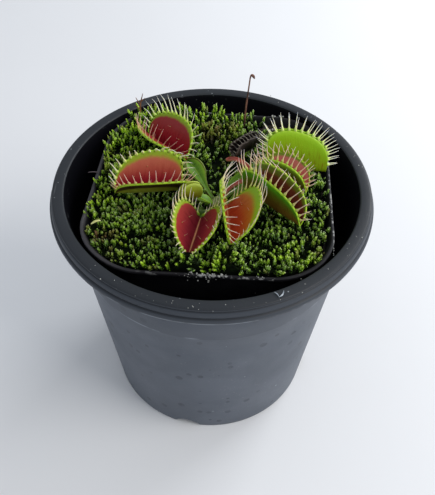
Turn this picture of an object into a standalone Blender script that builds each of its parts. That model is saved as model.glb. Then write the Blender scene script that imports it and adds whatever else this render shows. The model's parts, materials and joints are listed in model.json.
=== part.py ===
"""A Venus flytrap growing in moss, in a thin square pot that stands inside a round nursery pot.

Metres, +Z up. The origin is the middle of the round pot's foot, on the surface it stands on, and +Y
points to the back of the plant.
"""

import math
import random
from collections import namedtuple

import bmesh
import bpy
from mathutils import Vector, geometry, kdtree

MM = 0.001
GAP = 0.3 * MM                     # clearance between pieces that touch

# Round nursery pot
POT_HEIGHT = 108.4 * MM
RIM_RADIUS = 60.0 * MM             # outer edge of the flat rim
RIM_INNER = 55.9 * MM
LIP_RADIUS = 61.4 * MM             # lower lip of the rim's skirt, the widest place
SKIRT_DROP = 6.7 * MM
NECK_RADIUS = 55.6 * MM            # outside of the wall under the skirt
NECK_DEPTH = 24.4 * MM             # from the rim's top to the step in the wall
NECK_STEP = 0.4 * MM
FOOT_RADIUS = 44.0 * MM
POT_WALL = 1.0 * MM
FLOOR_TOP = 5.0 * MM
FLOOR_THICKNESS = 1.4 * MM
POT_SEGMENTS = 44
NOTCH_WIDTH = 10.6 * MM
NOTCH_RISE = 3.0 * MM
NOTCH_COUNT = 4
FIRST_NOTCH = -102.0               # degrees, a little left of the front
DRAIN_RADIUS = 4.0 * MM
DRAIN_CIRCLE = 27.0 * MM

# Square pot
SQUARE_RIM = 106.5 * MM            # height of its rim above the surface
SQUARE_HALF = 44.6 * MM            # half its width over the lip
SQUARE_CORNER = 22.0 * MM
BASE_HALF = 32.5 * MM
BASE_CORNER = 13.0 * MM
LIP_WIDTH = 1.2 * MM
LIP_DEPTH = 1.6 * MM
SQUARE_WALL = 1.0 * MM
SQUARE_TURN = -2.3                 # degrees
SQUARE_CENTRE = Vector((0.5 * MM, 0.5 * MM, 0.0))
SQUARE_FLOOR = FLOOR_TOP + GAP
CORNER_STEPS = 7
SQUARE_DRAIN_RADIUS = 3.5 * MM
SQUARE_DRAIN_OFFSET = 19.0 * MM

# Peat, moss and the plant's crown
SOIL_TOP = 103.2 * MM
MOSS_BOTTOM = SOIL_TOP + GAP
MOSS_MIN = 0.7 * MM                # least thickness of the carpet
MOSS_SPACING = 2.3 * MM
MOSS_SHOOT = 2.3 * MM              # how far a tuft stands out of the carpet
TALL_MOSS = 6.5 * MM               # how much higher the carpet grows at the back left
PRESS_REACH = 3.1 * MM             # how far around a leaf the moss is pressed down
LEAF_CLEARANCE = 0.5 * MM
BARE_CENTRE = Vector((46.0 * MM, 46.0 * MM, 0.0))
BARE_RADIUS = 26.0 * MM            # corner with no moss
CROWN = Vector((1.5 * MM, -8.0 * MM, 0.0))
CROWN_RADIUS = 2.8 * MM
CROWN_TOP = 107.6 * MM
CROWN_DEPTH = 7.0 * MM
CROWN_HOLLOW = 5.2 * MM            # radius of the clear place in the moss round the crown
STALK_FOOT = Vector((12.5 * MM, 38.8 * MM, 0.0))
STALK_RADIUS = 0.4 * MM
STALK_DEPTH = 3.0 * MM
STALK_HOLLOW = 1.3 * MM            # radius of the hole in the moss that the dead stalk stands in

# Traps
LOBE_ROWS = 2                      # strips from the hinge to a lobe's margin
LOBE_THICKNESS = 0.8 * MM
MARGIN_THICKNESS = 0.65 * MM
MIDRIB_THICKNESS = 1.1 * MM
WING_THICKNESS = 0.7 * MM
EAR = 0.28                         # how far the lobes reach back past the hinge
LOBE_FULLNESS = 0.7
HINGE_SAG = 0.03
MARGIN_ENDS = (0.03, 0.985)        # the lobes' two ends, as shares of the hinge
TRAP_SECTIONS = 9                  # sections of a trap with no teeth
ROOT_HALF = 0.7 * MM               # half the width of a leaf's stalk at the crown and at the trap
TEETH = 12
TOOTH_WIDTH = 1.0 * MM
TOOTH_SPAN = (0.045, 0.975)        # share of the margin that carries teeth

# A leaf's stalk starts at the crown, at an angle round it in degrees and at a height, and spreads into
# wings. Its trap's hinge starts at a point, and has a heading, a slope and a lean in degrees, and a
# length. A lobe has a width, and an angle from upright at the hinge and at the margin. Its teeth have
# an angle from upright on the left and on the right lobe, a fan towards the trap's ends, and a length.
Leaf = namedtuple("Leaf", "root_angle root_height wing start heading slope lean length width "
                          "angle_in angle_out teeth_left teeth_right fan tooth teeth")

LEAVES = {
    "leaf_a": Leaf(118, 105.9, 3.9, (-10.2, 10.5, 110.0), 131, -7, -10, 24.8, 15.4, 17, 48,
                   -30, 12, 70, 6.5, TEETH),
    "leaf_b": Leaf(172, 105.7, 2.6, (-12.4, -5.0, 109.4), 194, 8, -6, 23.8, 16.2, 20, 40,
                   12, 6, 50, 7.5, TEETH),
    "leaf_c": Leaf(243, 105.8, 3.6, (-3.8, -19.4, 109.0), 258, -3, -3, 17.4, 13.2, 32, 43,
                   -36, 5, 45, 6.2, TEETH),
    "leaf_d": Leaf(298, 106.8, 1.0, (5.4, -14.6, 111.0), 275, 0, -18, 18.8, 16.2, 29, 24,
                   -12, -20, 18, 8.2, TEETH),
    "leaf_e": Leaf(341, 105.8, 1.4, (13.2, -5.3, 110.6), 315, 1, -11, 26.0, 13.9, 24, 13,
                   -40, -4, 50, 8.0, TEETH),
    "leaf_f": Leaf(16, 105.9, 1.6, (19.2, 1.3, 109.3), 334, 5, -23, 17.4, 13.0, 36, 18,
                   -46, -10, 50, 7.0, TEETH),
    "leaf_g": Leaf(74, 105.7, 2.2, (20.8, 9.8, 110.1), 356, -5, -15, 22.9, 16.0, 9, -5,
                   10, 10, 70, 6.2, TEETH),
    "bud_leaf": Leaf(266, 107.2, 2.4, (-4.5, -12.4, 112.8), 192, 14, 20, 6.6, 5.4, 50, -38,
                     0, 0, 0, 0.0, 0),
    "withered_leaf": Leaf(42, 107.3, 1.0, (8.2, 13.6, 109.4), 42, 3, 0, 14.6, 7.2, 46, -24,
                          0, 0, 20, 1.6, 7),
}

# Points that a stalk is bent through on its way to the trap
STALK_BENDS = {
    "bud_leaf": [(0.8, -12.3, 109.2), (-1.2, -12.7, 111.4)],
    "leaf_e": [(7.0, -7.4, 106.3), (10.2, -4.6, 108.4)],
    "leaf_f": [(6.0, -4.1, 106.1), (10.8, -0.2, 106.9), (15.4, 1.9, 108.3)],
    "leaf_g": [(4.6, -1.4, 105.9), (9.0, 5.0, 106.2), (15.2, 9.5, 107.6)],
    "withered_leaf": [(7.5, -2.7, 109.7), (13.0, 0.6, 110.9), (13.4, 5.4, 111.9), (9.0, 9.0, 112.6),
                      (5.6, 11.0, 110.4)],
}


def clear_scene():
    for obj in list(bpy.data.objects):
        bpy.data.objects.remove(obj, do_unlink=True)


def make_material(name, colour, roughness):
    material = bpy.data.materials.new(name)
    material.use_nodes = True
    shader = material.node_tree.nodes["Principled BSDF"]
    shader.inputs["Base Color"].default_value = (*colour, 1.0)
    shader.inputs["Roughness"].default_value = roughness
    shader.inputs["Metallic"].default_value = 0.0
    material.diffuse_color = (*colour, 1.0)
    return material


def add_object(name, bm, material, smooth_angle=None):
    """Turn a bmesh into an object with outward faces and one material."""
    bmesh.ops.recalc_face_normals(bm, faces=bm.faces)
    mesh = bpy.data.meshes.new(name)
    bm.to_mesh(mesh)
    bm.free()
    mesh.materials.append(material)
    if smooth_angle is not None:
        mesh.shade_smooth()
        mesh.set_sharp_from_angle(angle=math.radians(smooth_angle))
    obj = bpy.data.objects.new(name, mesh)
    bpy.context.scene.collection.objects.link(obj)
    return obj


def add_cutter(name, bm):
    cutter = add_object(name, bm, make_material(name, (0.8, 0.2, 0.2), 0.5))
    cutter.hide_render = True
    cutter.display_type = "WIRE"
    return cutter


def cut(obj, cutter):
    modifier = obj.modifiers.new("cut_" + cutter.name, "BOOLEAN")
    modifier.operation = "DIFFERENCE"
    modifier.solver = "EXACT"
    modifier.object = cutter


def turned_body(profile, segments):
    """Spin a profile of (radius, height) points, from axis to axis or closed, round the Z axis."""
    bm = bmesh.new()
    verts = [bm.verts.new((radius, 0.0, height)) for radius, height in profile]
    edges = [bm.edges.new(pair) for pair in zip(verts, verts[1:])]
    bmesh.ops.spin(bm, geom=verts + edges, cent=(0, 0, 0), axis=(0, 0, 1), angle=math.tau,
                   steps=segments, use_merge=True, use_duplicate=False)
    bmesh.ops.remove_doubles(bm, verts=bm.verts, dist=1e-6)
    return bm


def add_cylinder(bm, centre, radius, bottom, top, segments=20):
    """Add a plain upright cylinder to a bmesh."""
    ring = [(math.cos(math.tau * k / segments), math.sin(math.tau * k / segments)) for k in range(segments)]
    low = [bm.verts.new((centre.x + radius * c, centre.y + radius * s, bottom)) for c, s in ring]
    high = [bm.verts.new((centre.x + radius * c, centre.y + radius * s, top)) for c, s in ring]
    bridge(bm, low, high)
    bm.faces.new(low[::-1])
    bm.faces.new(high)


def bridge(bm, ring_a, ring_b):
    """Join two closed rings of the same number of points with quads."""
    count = len(ring_a)
    for k in range(count):
        after = (k + 1) % count
        bm.faces.new((ring_a[k], ring_a[after], ring_b[after], ring_b[k]))


def loft(outlines):
    """Join a list of closed outlines, the first and the last of them filled."""
    bm = bmesh.new()
    rings = [[bm.verts.new(point) for point in outline] for outline in outlines]
    for ring_a, ring_b in zip(rings, rings[1:]):
        bridge(bm, ring_a, ring_b)
    bm.faces.new(rings[0][::-1])
    bm.faces.new(rings[-1])
    return bm


def polar(radius, degrees):
    angle = math.radians(degrees)
    return Vector((radius * math.cos(angle), radius * math.sin(angle), 0.0))


def neck_radius(height):
    """Outside radius of the round pot's wall at a height, without the neck's step."""
    under_skirt = POT_HEIGHT - SKIRT_DROP
    return FOOT_RADIUS + (NECK_RADIUS - FOOT_RADIUS) * height / under_skirt


def round_pot_profile():
    """Section of the round pot: floor and wall inside, flat rim, grooved skirt, neck, wall and foot."""
    floor_under = FLOOR_TOP - FLOOR_THICKNESS
    step = POT_HEIGHT - NECK_DEPTH
    skirt = POT_HEIGHT - SKIRT_DROP
    flange = POT_HEIGHT - POT_WALL
    inside = neck_radius(FLOOR_TOP) - POT_WALL
    foot_inside = FOOT_RADIUS - 1.4 * POT_WALL
    skirt_inside = LIP_RADIUS - 1.2 * MM
    return [
        (0.0, FLOOR_TOP),
        (inside - 1.0 * MM, FLOOR_TOP),
        (inside, FLOOR_TOP + 1.0 * MM),
        (neck_radius(step) - NECK_STEP - POT_WALL, step),
        (NECK_RADIUS - POT_WALL, skirt),
        (RIM_INNER - 0.3 * MM, flange),
        (RIM_INNER, POT_HEIGHT),
        (RIM_RADIUS - 0.7 * MM, POT_HEIGHT),
        (RIM_RADIUS - 0.15 * MM, POT_HEIGHT - 0.3 * MM),
        (RIM_RADIUS + 0.1 * MM, POT_HEIGHT - 0.8 * MM),
        (RIM_RADIUS - 0.2 * MM, POT_HEIGHT - 1.3 * MM),
        (RIM_RADIUS + 0.4 * MM, POT_HEIGHT - 1.8 * MM),
        (RIM_RADIUS + 0.75 * MM, POT_HEIGHT - 3.5 * MM),
        (RIM_RADIUS + 0.45 * MM, POT_HEIGHT - 4.1 * MM),
        (LIP_RADIUS, POT_HEIGHT - 4.8 * MM),
        (LIP_RADIUS, skirt + 0.4 * MM),
        (LIP_RADIUS - 0.5 * MM, skirt),
        (skirt_inside, skirt),
        (RIM_RADIUS - 1.1 * MM, flange - 0.6 * MM),
        (RIM_INNER + 1.6 * MM, flange - 0.4 * MM),
        (NECK_RADIUS, skirt),
        (neck_radius(step) + 0.1 * MM, step + 0.4 * MM),
        (neck_radius(step) - NECK_STEP, step - 0.2 * MM),
        (FOOT_RADIUS, 0.0),
        (foot_inside, 0.0),
        (neck_radius(floor_under) - 1.6 * POT_WALL, floor_under),
        (0.0, floor_under),
    ]


def make_round_pot(material):
    pot = add_object("outer_pot", turned_body(round_pot_profile(), POT_SEGMENTS), material, 35)
    notches = bmesh.new()
    arch_radius = (NOTCH_WIDTH ** 2 / 4 + NOTCH_RISE ** 2) / (2 * NOTCH_RISE)
    for k in range(NOTCH_COUNT):
        degrees = FIRST_NOTCH + 360.0 / NOTCH_COUNT * k
        outward = polar(1.0, degrees)
        across = polar(1.0, degrees + 90)
        rings = []
        for reach in (FOOT_RADIUS - 5 * MM, FOOT_RADIUS + 4 * MM):
            middle = outward * reach + Vector((0, 0, NOTCH_RISE - arch_radius))
            rings.append([notches.verts.new(middle + across * (arch_radius * math.cos(math.tau * j / 24))
                                            + Vector((0, 0, arch_radius * math.sin(math.tau * j / 24))))
                          for j in range(24)])
        bridge(notches, *rings)
        notches.faces.new(rings[0][::-1])
        notches.faces.new(rings[1])
    cut(pot, add_cutter("foot_notches", notches))
    drains = bmesh.new()
    add_cylinder(drains, Vector((0, 0, 0)), DRAIN_RADIUS, 1 * MM, FLOOR_TOP + 2 * MM)
    for k in range(NOTCH_COUNT):
        middle = polar(DRAIN_CIRCLE, FIRST_NOTCH + 360.0 / NOTCH_COUNT * k)
        add_cylinder(drains, middle, DRAIN_RADIUS, 1 * MM, FLOOR_TOP + 2 * MM)
    cut(pot, add_cutter("pot_drains", drains))
    return pot


def rounded_square(half_width, corner, height, steps=CORNER_STEPS):
    """Outline of the square pot at a height, anticlockwise, turned and shifted with the pot."""
    turn = math.radians(SQUARE_TURN)
    points = []
    for quarter in range(4):
        diagonal = math.radians(45 + 90 * quarter)
        arm = (half_width - corner) * math.sqrt(2)
        for step in range(steps + 1):
            angle = math.radians(90 * quarter + 90 * step / steps)
            x = arm * math.cos(diagonal) + corner * math.cos(angle)
            y = arm * math.sin(diagonal) + corner * math.sin(angle)
            points.append(Vector((x * math.cos(turn) - y * math.sin(turn) + SQUARE_CENTRE.x,
                                  x * math.sin(turn) + y * math.cos(turn) + SQUARE_CENTRE.y, height)))
    return points


def square_section(height, inset=0.0):
    """Half width and corner radius of the square pot's wall at a height, less an inset."""
    share = (height - SQUARE_FLOOR) / (SQUARE_RIM - SQUARE_FLOOR)
    half = BASE_HALF + (SQUARE_HALF - LIP_WIDTH - BASE_HALF) * share
    corner = BASE_CORNER + (SQUARE_CORNER - LIP_WIDTH - BASE_CORNER) * share
    return half - inset, corner - inset


def make_square_pot(material):
    floor_top = SQUARE_FLOOR + 1.2 * MM
    lip_under = SQUARE_RIM - LIP_DEPTH
    outlines = [
        rounded_square(BASE_HALF - 1 * MM, BASE_CORNER - 1 * MM, SQUARE_FLOOR),
        rounded_square(*square_section(SQUARE_FLOOR + 1 * MM), SQUARE_FLOOR + 1 * MM),
        rounded_square(*square_section(lip_under), lip_under),
        rounded_square(SQUARE_HALF, SQUARE_CORNER, lip_under + 0.3 * MM),
        rounded_square(SQUARE_HALF, SQUARE_CORNER, SQUARE_RIM - 0.4 * MM),
        rounded_square(SQUARE_HALF - 0.4 * MM, SQUARE_CORNER - 0.4 * MM, SQUARE_RIM),
        rounded_square(*square_section(SQUARE_RIM, SQUARE_WALL), SQUARE_RIM),
        rounded_square(*square_section(floor_top, SQUARE_WALL), floor_top),
    ]
    pot = add_object("square_pot", loft(outlines), material, 35)
    drains = bmesh.new()
    for x, y in ((0, 0), (1, 0), (0, 1), (-1, 0), (0, -1)):
        middle = SQUARE_CENTRE + Vector((x, y, 0)) * SQUARE_DRAIN_OFFSET
        add_cylinder(drains, middle, SQUARE_DRAIN_RADIUS, SQUARE_FLOOR - 1 * MM, floor_top + 1 * MM, 14)
    cut(pot, add_cutter("square_drains", drains))
    return pot


def make_soil(material):
    bottom = SQUARE_FLOOR + 1.2 * MM + GAP
    inset = SQUARE_WALL + GAP
    outlines = [rounded_square(*square_section(height, inset), height) for height in (bottom, SOIL_TOP)]
    soil = add_object("soil", loft(outlines), material)
    holes = bmesh.new()
    add_cylinder(holes, CROWN, CROWN_RADIUS + GAP, SOIL_TOP - CROWN_DEPTH - GAP, SOIL_TOP + 1 * MM)
    add_cylinder(holes, STALK_FOOT, STALK_RADIUS + GAP, SOIL_TOP - STALK_DEPTH - GAP, SOIL_TOP + 1 * MM, 10)
    cut(soil, add_cutter("stem_holes", holes))
    return soil


def make_crown(material):
    """The short rhizome: a stub in the soil with a pointed dome of young growth on top."""
    bottom = SOIL_TOP - CROWN_DEPTH
    profile = [
        (0.0, bottom),
        (CROWN_RADIUS * 0.8, bottom),
        (CROWN_RADIUS, bottom + 1.5 * MM),
        (CROWN_RADIUS, CROWN_TOP - 2.0 * MM),
        (CROWN_RADIUS * 0.8, CROWN_TOP - 0.8 * MM),
        (CROWN_RADIUS * 0.35, CROWN_TOP - 0.1 * MM),
        (0.0, CROWN_TOP + 0.6 * MM),
    ]
    bm = turned_body(profile, 14)
    bmesh.ops.translate(bm, verts=bm.verts, vec=CROWN)
    return add_object("crown", bm, material, 50)


def section_offset(reach, width, angle_in, angle_out):
    """Sideways and upward offset, and the angle from upright, at a reach along a curved lobe."""
    start = math.radians(angle_in)
    bend = math.radians(angle_out - angle_in) / width
    if abs(bend) < 1e-6:
        return reach * math.sin(start), reach * math.cos(start), start
    angle = start + bend * reach
    return (math.cos(start) - math.cos(angle)) / bend, (math.sin(angle) - math.sin(start)) / bend, angle


def trap_axes(leaf):
    """Directions along the hinge, to its left and out of its mouth."""
    heading, slope, lean = (math.radians(value) for value in (leaf.heading, leaf.slope, leaf.lean))
    along = polar(math.cos(slope), leaf.heading) + Vector((0.0, 0.0, math.sin(slope)))
    level = Vector((-math.sin(heading), math.cos(heading), 0.0))
    upright = along.cross(level)
    left = level * math.cos(lean) + upright * math.sin(lean)
    mouth = upright * math.cos(lean) - level * math.sin(lean)
    return along, left, mouth


def trap_point(leaf, side, share, reach, depth):
    """A point of a lobe: share runs along the hinge, reach from the hinge to the margin, depth outwards."""
    along, left, mouth = trap_axes(leaf)
    length, width = leaf.length * MM, leaf.width * MM
    hinge = length * (0.5 - 0.5 * math.cos(math.pi * share))
    ear = length * EAR * math.sin(math.pi * share) * (1 - share)
    forward = hinge - ear * reach
    lobe = width * math.sin(math.pi * share) ** LOBE_FULLNESS
    sideways, rise, angle = section_offset(lobe * reach, width, leaf.angle_in, leaf.angle_out)
    inner = min(max(forward / length, 0.0), 1.0)
    rise -= HINGE_SAG * length * 4 * inner * (1 - inner)
    point = Vector(leaf.start) * MM + along * forward + left * (side * sideways) + mouth * rise
    if reach == 0.0:
        return point - mouth * depth
    outward = left * (side * math.cos(angle)) - mouth * math.sin(angle)
    return point + outward * depth


def lobe_thickness(row):
    share = row / LOBE_ROWS
    if row == 0:
        return MIDRIB_THICKNESS
    return LOBE_THICKNESS + (MARGIN_THICKNESS - LOBE_THICKNESS) * share


def trap_ring(leaf, share):
    """One section of the trap: inner face from left to right margin, then the outer face back."""
    rows = list(range(-LOBE_ROWS, LOBE_ROWS + 1))
    inner = [trap_point(leaf, -1 if row > 0 else 1, share, abs(row) / LOBE_ROWS, 0.0) for row in rows]
    outer = [trap_point(leaf, -1 if row > 0 else 1, share, abs(row) / LOBE_ROWS, lobe_thickness(abs(row)))
             for row in rows]
    return inner + outer[::-1]


def margin_shares(leaf):
    """Places along the hinge of a trap's sections, two for each tooth, evenly set along the margin."""
    start, end = MARGIN_ENDS
    samples = [start + (end - start) * k / 200 for k in range(201)]
    points = [trap_point(leaf, 1, share, 1.0, 0.0) for share in samples]
    lengths = [0.0]
    for before, after in zip(points, points[1:]):
        lengths.append(lengths[-1] + (after - before).length)

    def share_at(distance):
        for k in range(200):
            if lengths[k + 1] >= distance:
                part = (distance - lengths[k]) / (lengths[k + 1] - lengths[k])
                return samples[k] + part * (samples[k + 1] - samples[k])
        return samples[-1]

    first, last = (lengths[-1] * share for share in TOOTH_SPAN)
    if leaf.teeth == 0:
        return [share_at(first + (last - first) * k / (TRAP_SECTIONS - 1)) for k in range(TRAP_SECTIONS)]
    pitch = (last - first - TOOTH_WIDTH) / (leaf.teeth - 1)
    starts = [first + k * pitch for k in range(leaf.teeth)]
    return [share_at(start + part) for start in starts for part in (0.0, TOOTH_WIDTH)]


def stalk_path(name, leaf):
    """Points from the crown to the trap: a smooth curve that leaves the crown and meets the hinge."""
    along = trap_axes(leaf)[0]
    root = CROWN + polar(CROWN_RADIUS + GAP + 0.3 * MM, leaf.root_angle)
    root.z = leaf.root_height * MM
    neck = Vector(leaf.start) * MM - along * 1.3 * MM
    bends = [Vector(point) * MM for point in STALK_BENDS.get(name, [])]
    if bends:
        knots = [root] + bends + [neck, Vector(leaf.start) * MM + along * 1.5 * MM]
        return [root] + [catmull(knots, k, part) for k in range(len(knots) - 2) for part in (0.5, 1.0)]
    pull = (neck - root).length * 0.4
    handles = (root, root + polar(pull, leaf.root_angle), neck - along * pull, neck)
    return list(geometry.interpolate_bezier(*handles, 7))


def catmull(knots, index, part):
    """A point on the smooth curve through the knots, between knot index and the next."""
    before = knots[max(index - 1, 0)]
    start, end = knots[index], knots[index + 1]
    after = knots[min(index + 2, len(knots) - 1)]
    out, into = (end - before) / 2, (after - start) / 2
    return (start * (2 * part ** 3 - 3 * part ** 2 + 1) + out * (part ** 3 - 2 * part ** 2 + part)
            + end * (3 * part ** 2 - 2 * part ** 3) + into * (part ** 3 - part ** 2))


def stalk_rings(name, leaf):
    """Sections of the winged stalk, widest past its middle and narrow where it meets the trap."""
    path = stalk_path(name, leaf)
    mouth = trap_axes(leaf)[2]
    rings = []
    for k, centre in enumerate(path):
        share = k / (len(path) - 1)
        direction = (path[min(k + 1, len(path) - 1)] - path[max(k - 1, 0)]).normalized()
        upward = Vector((0, 0, 1)).lerp(mouth, share)
        left = upward.cross(direction).normalized()
        upward = direction.cross(left)
        spread = math.sin(math.pi * share ** 2.2) ** 1.3
        width = ROOT_HALF + (leaf.wing * MM - ROOT_HALF) * spread
        folded = share ** 6
        angle_in = 74 + (leaf.angle_in - 74) * folded
        angle_out = 86 + (leaf.angle_out - 86) * folded
        rows = list(range(-LOBE_ROWS, LOBE_ROWS + 1))
        inner, outer = [], []
        for row in rows:
            side = -1 if row > 0 else 1
            reach = width * abs(row) / LOBE_ROWS
            sideways, rise, angle = section_offset(reach, width, angle_in, angle_out)
            point = centre + left * (side * sideways) + upward * rise
            outward = left * (side * math.cos(angle)) - upward * math.sin(angle)
            inner.append(point)
            outer.append(point + outward * WING_THICKNESS if row else point - upward * MIDRIB_THICKNESS)
        rings.append(inner + outer[::-1])
    return rings


def bend_tooth(leaf, share, side, base, middle):
    """Middle and tip of a tooth whose base is centred on a point of the margin."""
    along, left, mouth = trap_axes(leaf)
    lean = math.radians(leaf.teeth_left if side > 0 else leaf.teeth_right)
    fan = math.radians(leaf.fan * (2 * share - 1))
    sweep = (left * (side * math.sin(lean)) + mouth * math.cos(lean)) * math.cos(fan) + along * math.sin(fan)
    length = leaf.tooth * MM * (0.6 + 0.4 * math.sin(math.pi * share))
    bow = left * (side * 0.05 * length)
    waist = [base + sweep * (0.5 * length) + bow + (corner - base) * 0.62 for corner in middle]
    return waist, base + sweep * length


def make_leaf(name, leaf, material):
    """One grown leaf: winged stalk, two-lobed trap and teeth, as one closed body."""
    shares = margin_shares(leaf)
    outlines = stalk_rings(name, leaf) + [trap_ring(leaf, share) for share in shares]
    first_trap = len(outlines) - len(shares)
    bm = bmesh.new()
    rings = [[bm.verts.new(point) for point in outline] for outline in outlines]
    face_count = 2 * LOBE_ROWS
    size = 2 * (face_count + 1)
    for index, (ring_a, ring_b) in enumerate(zip(rings, rings[1:])):
        strip = index - first_trap
        toothed = leaf.teeth > 0 and strip >= 0 and strip % 2 == 0
        for k in range(size):
            after = (k + 1) % size
            quad = (ring_a[k], ring_a[after], ring_b[after], ring_b[k])
            is_margin = k in (face_count, size - 1)
            if is_margin and toothed:
                side = -1 if k == face_count else 1
                share = (shares[strip] + shares[strip + 1]) / 2
                base = sum((vert.co for vert in quad), Vector()) / 4
                waist, tip = bend_tooth(leaf, share, side, base, [vert.co for vert in quad])
                waist = [bm.verts.new(point) for point in waist]
                bridge(bm, list(quad), waist)
                tip = bm.verts.new(tip)
                for j in range(4):
                    bm.faces.new((waist[j], waist[(j + 1) % 4], tip))
            elif k < face_count:
                bm.faces.new((quad[0], quad[1], quad[2]))
                bm.faces.new((quad[0], quad[2], quad[3]))
            else:
                bm.faces.new((quad[0], quad[1], quad[3]))
                bm.faces.new((quad[1], quad[2], quad[3]))
    for ring in (rings[0], rings[-1]):
        for k in range(face_count):
            bm.faces.new((ring[k], ring[k + 1], ring[size - 2 - k], ring[size - 1 - k]))
    return add_object(name, bm, material, 60)


def make_stalk(material):
    """The dried stalk at the back, with its tip bent over into a small dark head."""
    foot = STALK_FOOT + Vector((0, 0, SOIL_TOP - STALK_DEPTH))
    knots = [foot, STALK_FOOT + Vector((0.1 * MM, 0.2 * MM, 108 * MM)),
             STALK_FOOT + Vector((0.9 * MM, 2.2 * MM, 119 * MM)),
             STALK_FOOT + Vector((1.6 * MM, 3.6 * MM, 126.8 * MM)),
             STALK_FOOT + Vector((2.4 * MM, 3.8 * MM, 127.2 * MM)),
             STALK_FOOT + Vector((3.2 * MM, 3.8 * MM, 125.9 * MM))]
    radii = [STALK_RADIUS, STALK_RADIUS, 0.32 * MM, 0.3 * MM, 0.6 * MM, 0.3 * MM]
    sides = 6
    outlines = []
    for k, centre in enumerate(knots):
        direction = (knots[min(k + 1, len(knots) - 1)] - knots[max(k - 1, 0)]).normalized()
        across = Vector((0, 1, 0))
        other = direction.cross(across).normalized()
        outlines.append([centre + across * (radii[k] * math.cos(math.tau * j / sides))
                         + other * (radii[k] * math.sin(math.tau * j / sides)) for j in range(sides)])
    return add_object("dead_stalk", loft(outlines), material, 60)


def smooth_step(value, low, high):
    part = min(max((value - low) / (high - low), 0.0), 1.0)
    return part * part * (3 - 2 * part)


def carpet_height(x, y):
    """Height of the moss carpet between its tufts: low in front and at the crown, tall at the back left."""
    back = smooth_step(y, 12 * MM, 42 * MM) * smooth_step(-x, -26 * MM, 8 * MM)
    left = smooth_step(-x, 24 * MM, 44 * MM) * smooth_step(y, -22 * MM, 6 * MM) * 0.45
    roll = 0.35 * MM * math.sin(x * 310 + 1.3) * math.sin(y * 260 + 0.4)
    return SOIL_TOP + 1.7 * MM + roll + TALL_MOSS * max(back, left)


def moss_outline(rng):
    """Uneven edge of the moss carpet: the square pot's inside with the bare corner taken out."""
    wall = rounded_square(*square_section(SQUARE_RIM, SQUARE_WALL + 1.2 * MM), 0.0, steps=12)
    dense = []
    for k, point in enumerate(wall):
        after = wall[(k + 1) % len(wall)]
        pieces = max(1, round((after - point).length / (1.15 * MOSS_SPACING)))
        dense += [point.lerp(after, j / pieces) * rng.uniform(0.985, 0.998) for j in range(pieces)]
    kept = [point for point in dense if (point - BARE_CENTRE).length > BARE_RADIUS + 0.4 * MM]
    start = max(range(len(kept)), key=lambda k: (kept[k] - kept[k - 1]).length)
    kept = kept[start:] + kept[:start]
    enter = kept[-1] - BARE_CENTRE
    leave = kept[0] - BARE_CENTRE
    turn = leave.to_2d().angle_signed(enter.to_2d())
    pieces = round(abs(turn) * BARE_RADIUS / (1.2 * MOSS_SPACING))
    begin = math.atan2(enter.y, enter.x)
    arc = [BARE_CENTRE + BARE_RADIUS * Vector((math.cos(begin + turn * k / pieces),
                                               math.sin(begin + turn * k / pieces), 0))
           for k in range(1, pieces)]
    return kept + arc


def inside_polygon(point, polygon):
    within = False
    for k, corner in enumerate(polygon):
        before = polygon[k - 1]
        if (corner.y > point.y) != (before.y > point.y):
            crossing = corner.x + (point.y - corner.y) * (before.x - corner.x) / (before.y - corner.y)
            within ^= point.x < crossing
    return within


def moss_points(outline, hollows, rng):
    """A jittered triangular lattice inside the carpet's edge, with every third point a tuft."""
    rings = outline + [point for hollow in hollows for point in hollow]
    points, tufts = [], []
    rows = int(50 * MM / MOSS_SPACING)
    for j in range(-rows, rows + 1):
        for i in range(-2 * rows, 2 * rows + 1):
            x = (i + 0.5 * j) * MOSS_SPACING
            y = j * MOSS_SPACING * math.sqrt(3) / 2
            point = Vector((x + rng.uniform(-0.3, 0.3) * MM, y + rng.uniform(-0.3, 0.3) * MM, 0.0))
            lift = rng.uniform(0.7, 1.25)
            if max(abs(x), abs(y)) > 50 * MM or not inside_polygon(point, outline):
                continue
            if any(inside_polygon(point, hollow) for hollow in hollows):
                continue
            if min((point - other).length for other in rings) < 0.62 * MOSS_SPACING:
                continue
            points.append(point)
            tufts.append(lift if (i - j) % 3 == 0 else 0.0)
    return points, tufts


def leaf_samples(leaves):
    """Points along every edge of the leaves, a millimetre apart or less."""
    samples = []
    for obj in leaves:
        verts = obj.data.vertices
        for edge in obj.data.edges:
            start, end = (verts[k].co for k in edge.vertices)
            pieces = max(1, math.ceil((end - start).length / MM))
            samples += [start.lerp(end, k / pieces) for k in range(pieces + 1)]
    return samples


def triangulate(points, edges):
    """Delaunay triangles of points in the plane, inside closed edges, as index triples of the points."""
    flat = [point.to_2d() for point in points]
    result = geometry.delaunay_2d_cdt(flat, edges, [], 1, 1e-7)
    origin = [sources[0] for sources in result[3]]
    return [tuple(origin[k] for k in face) for face in result[2]]


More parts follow.
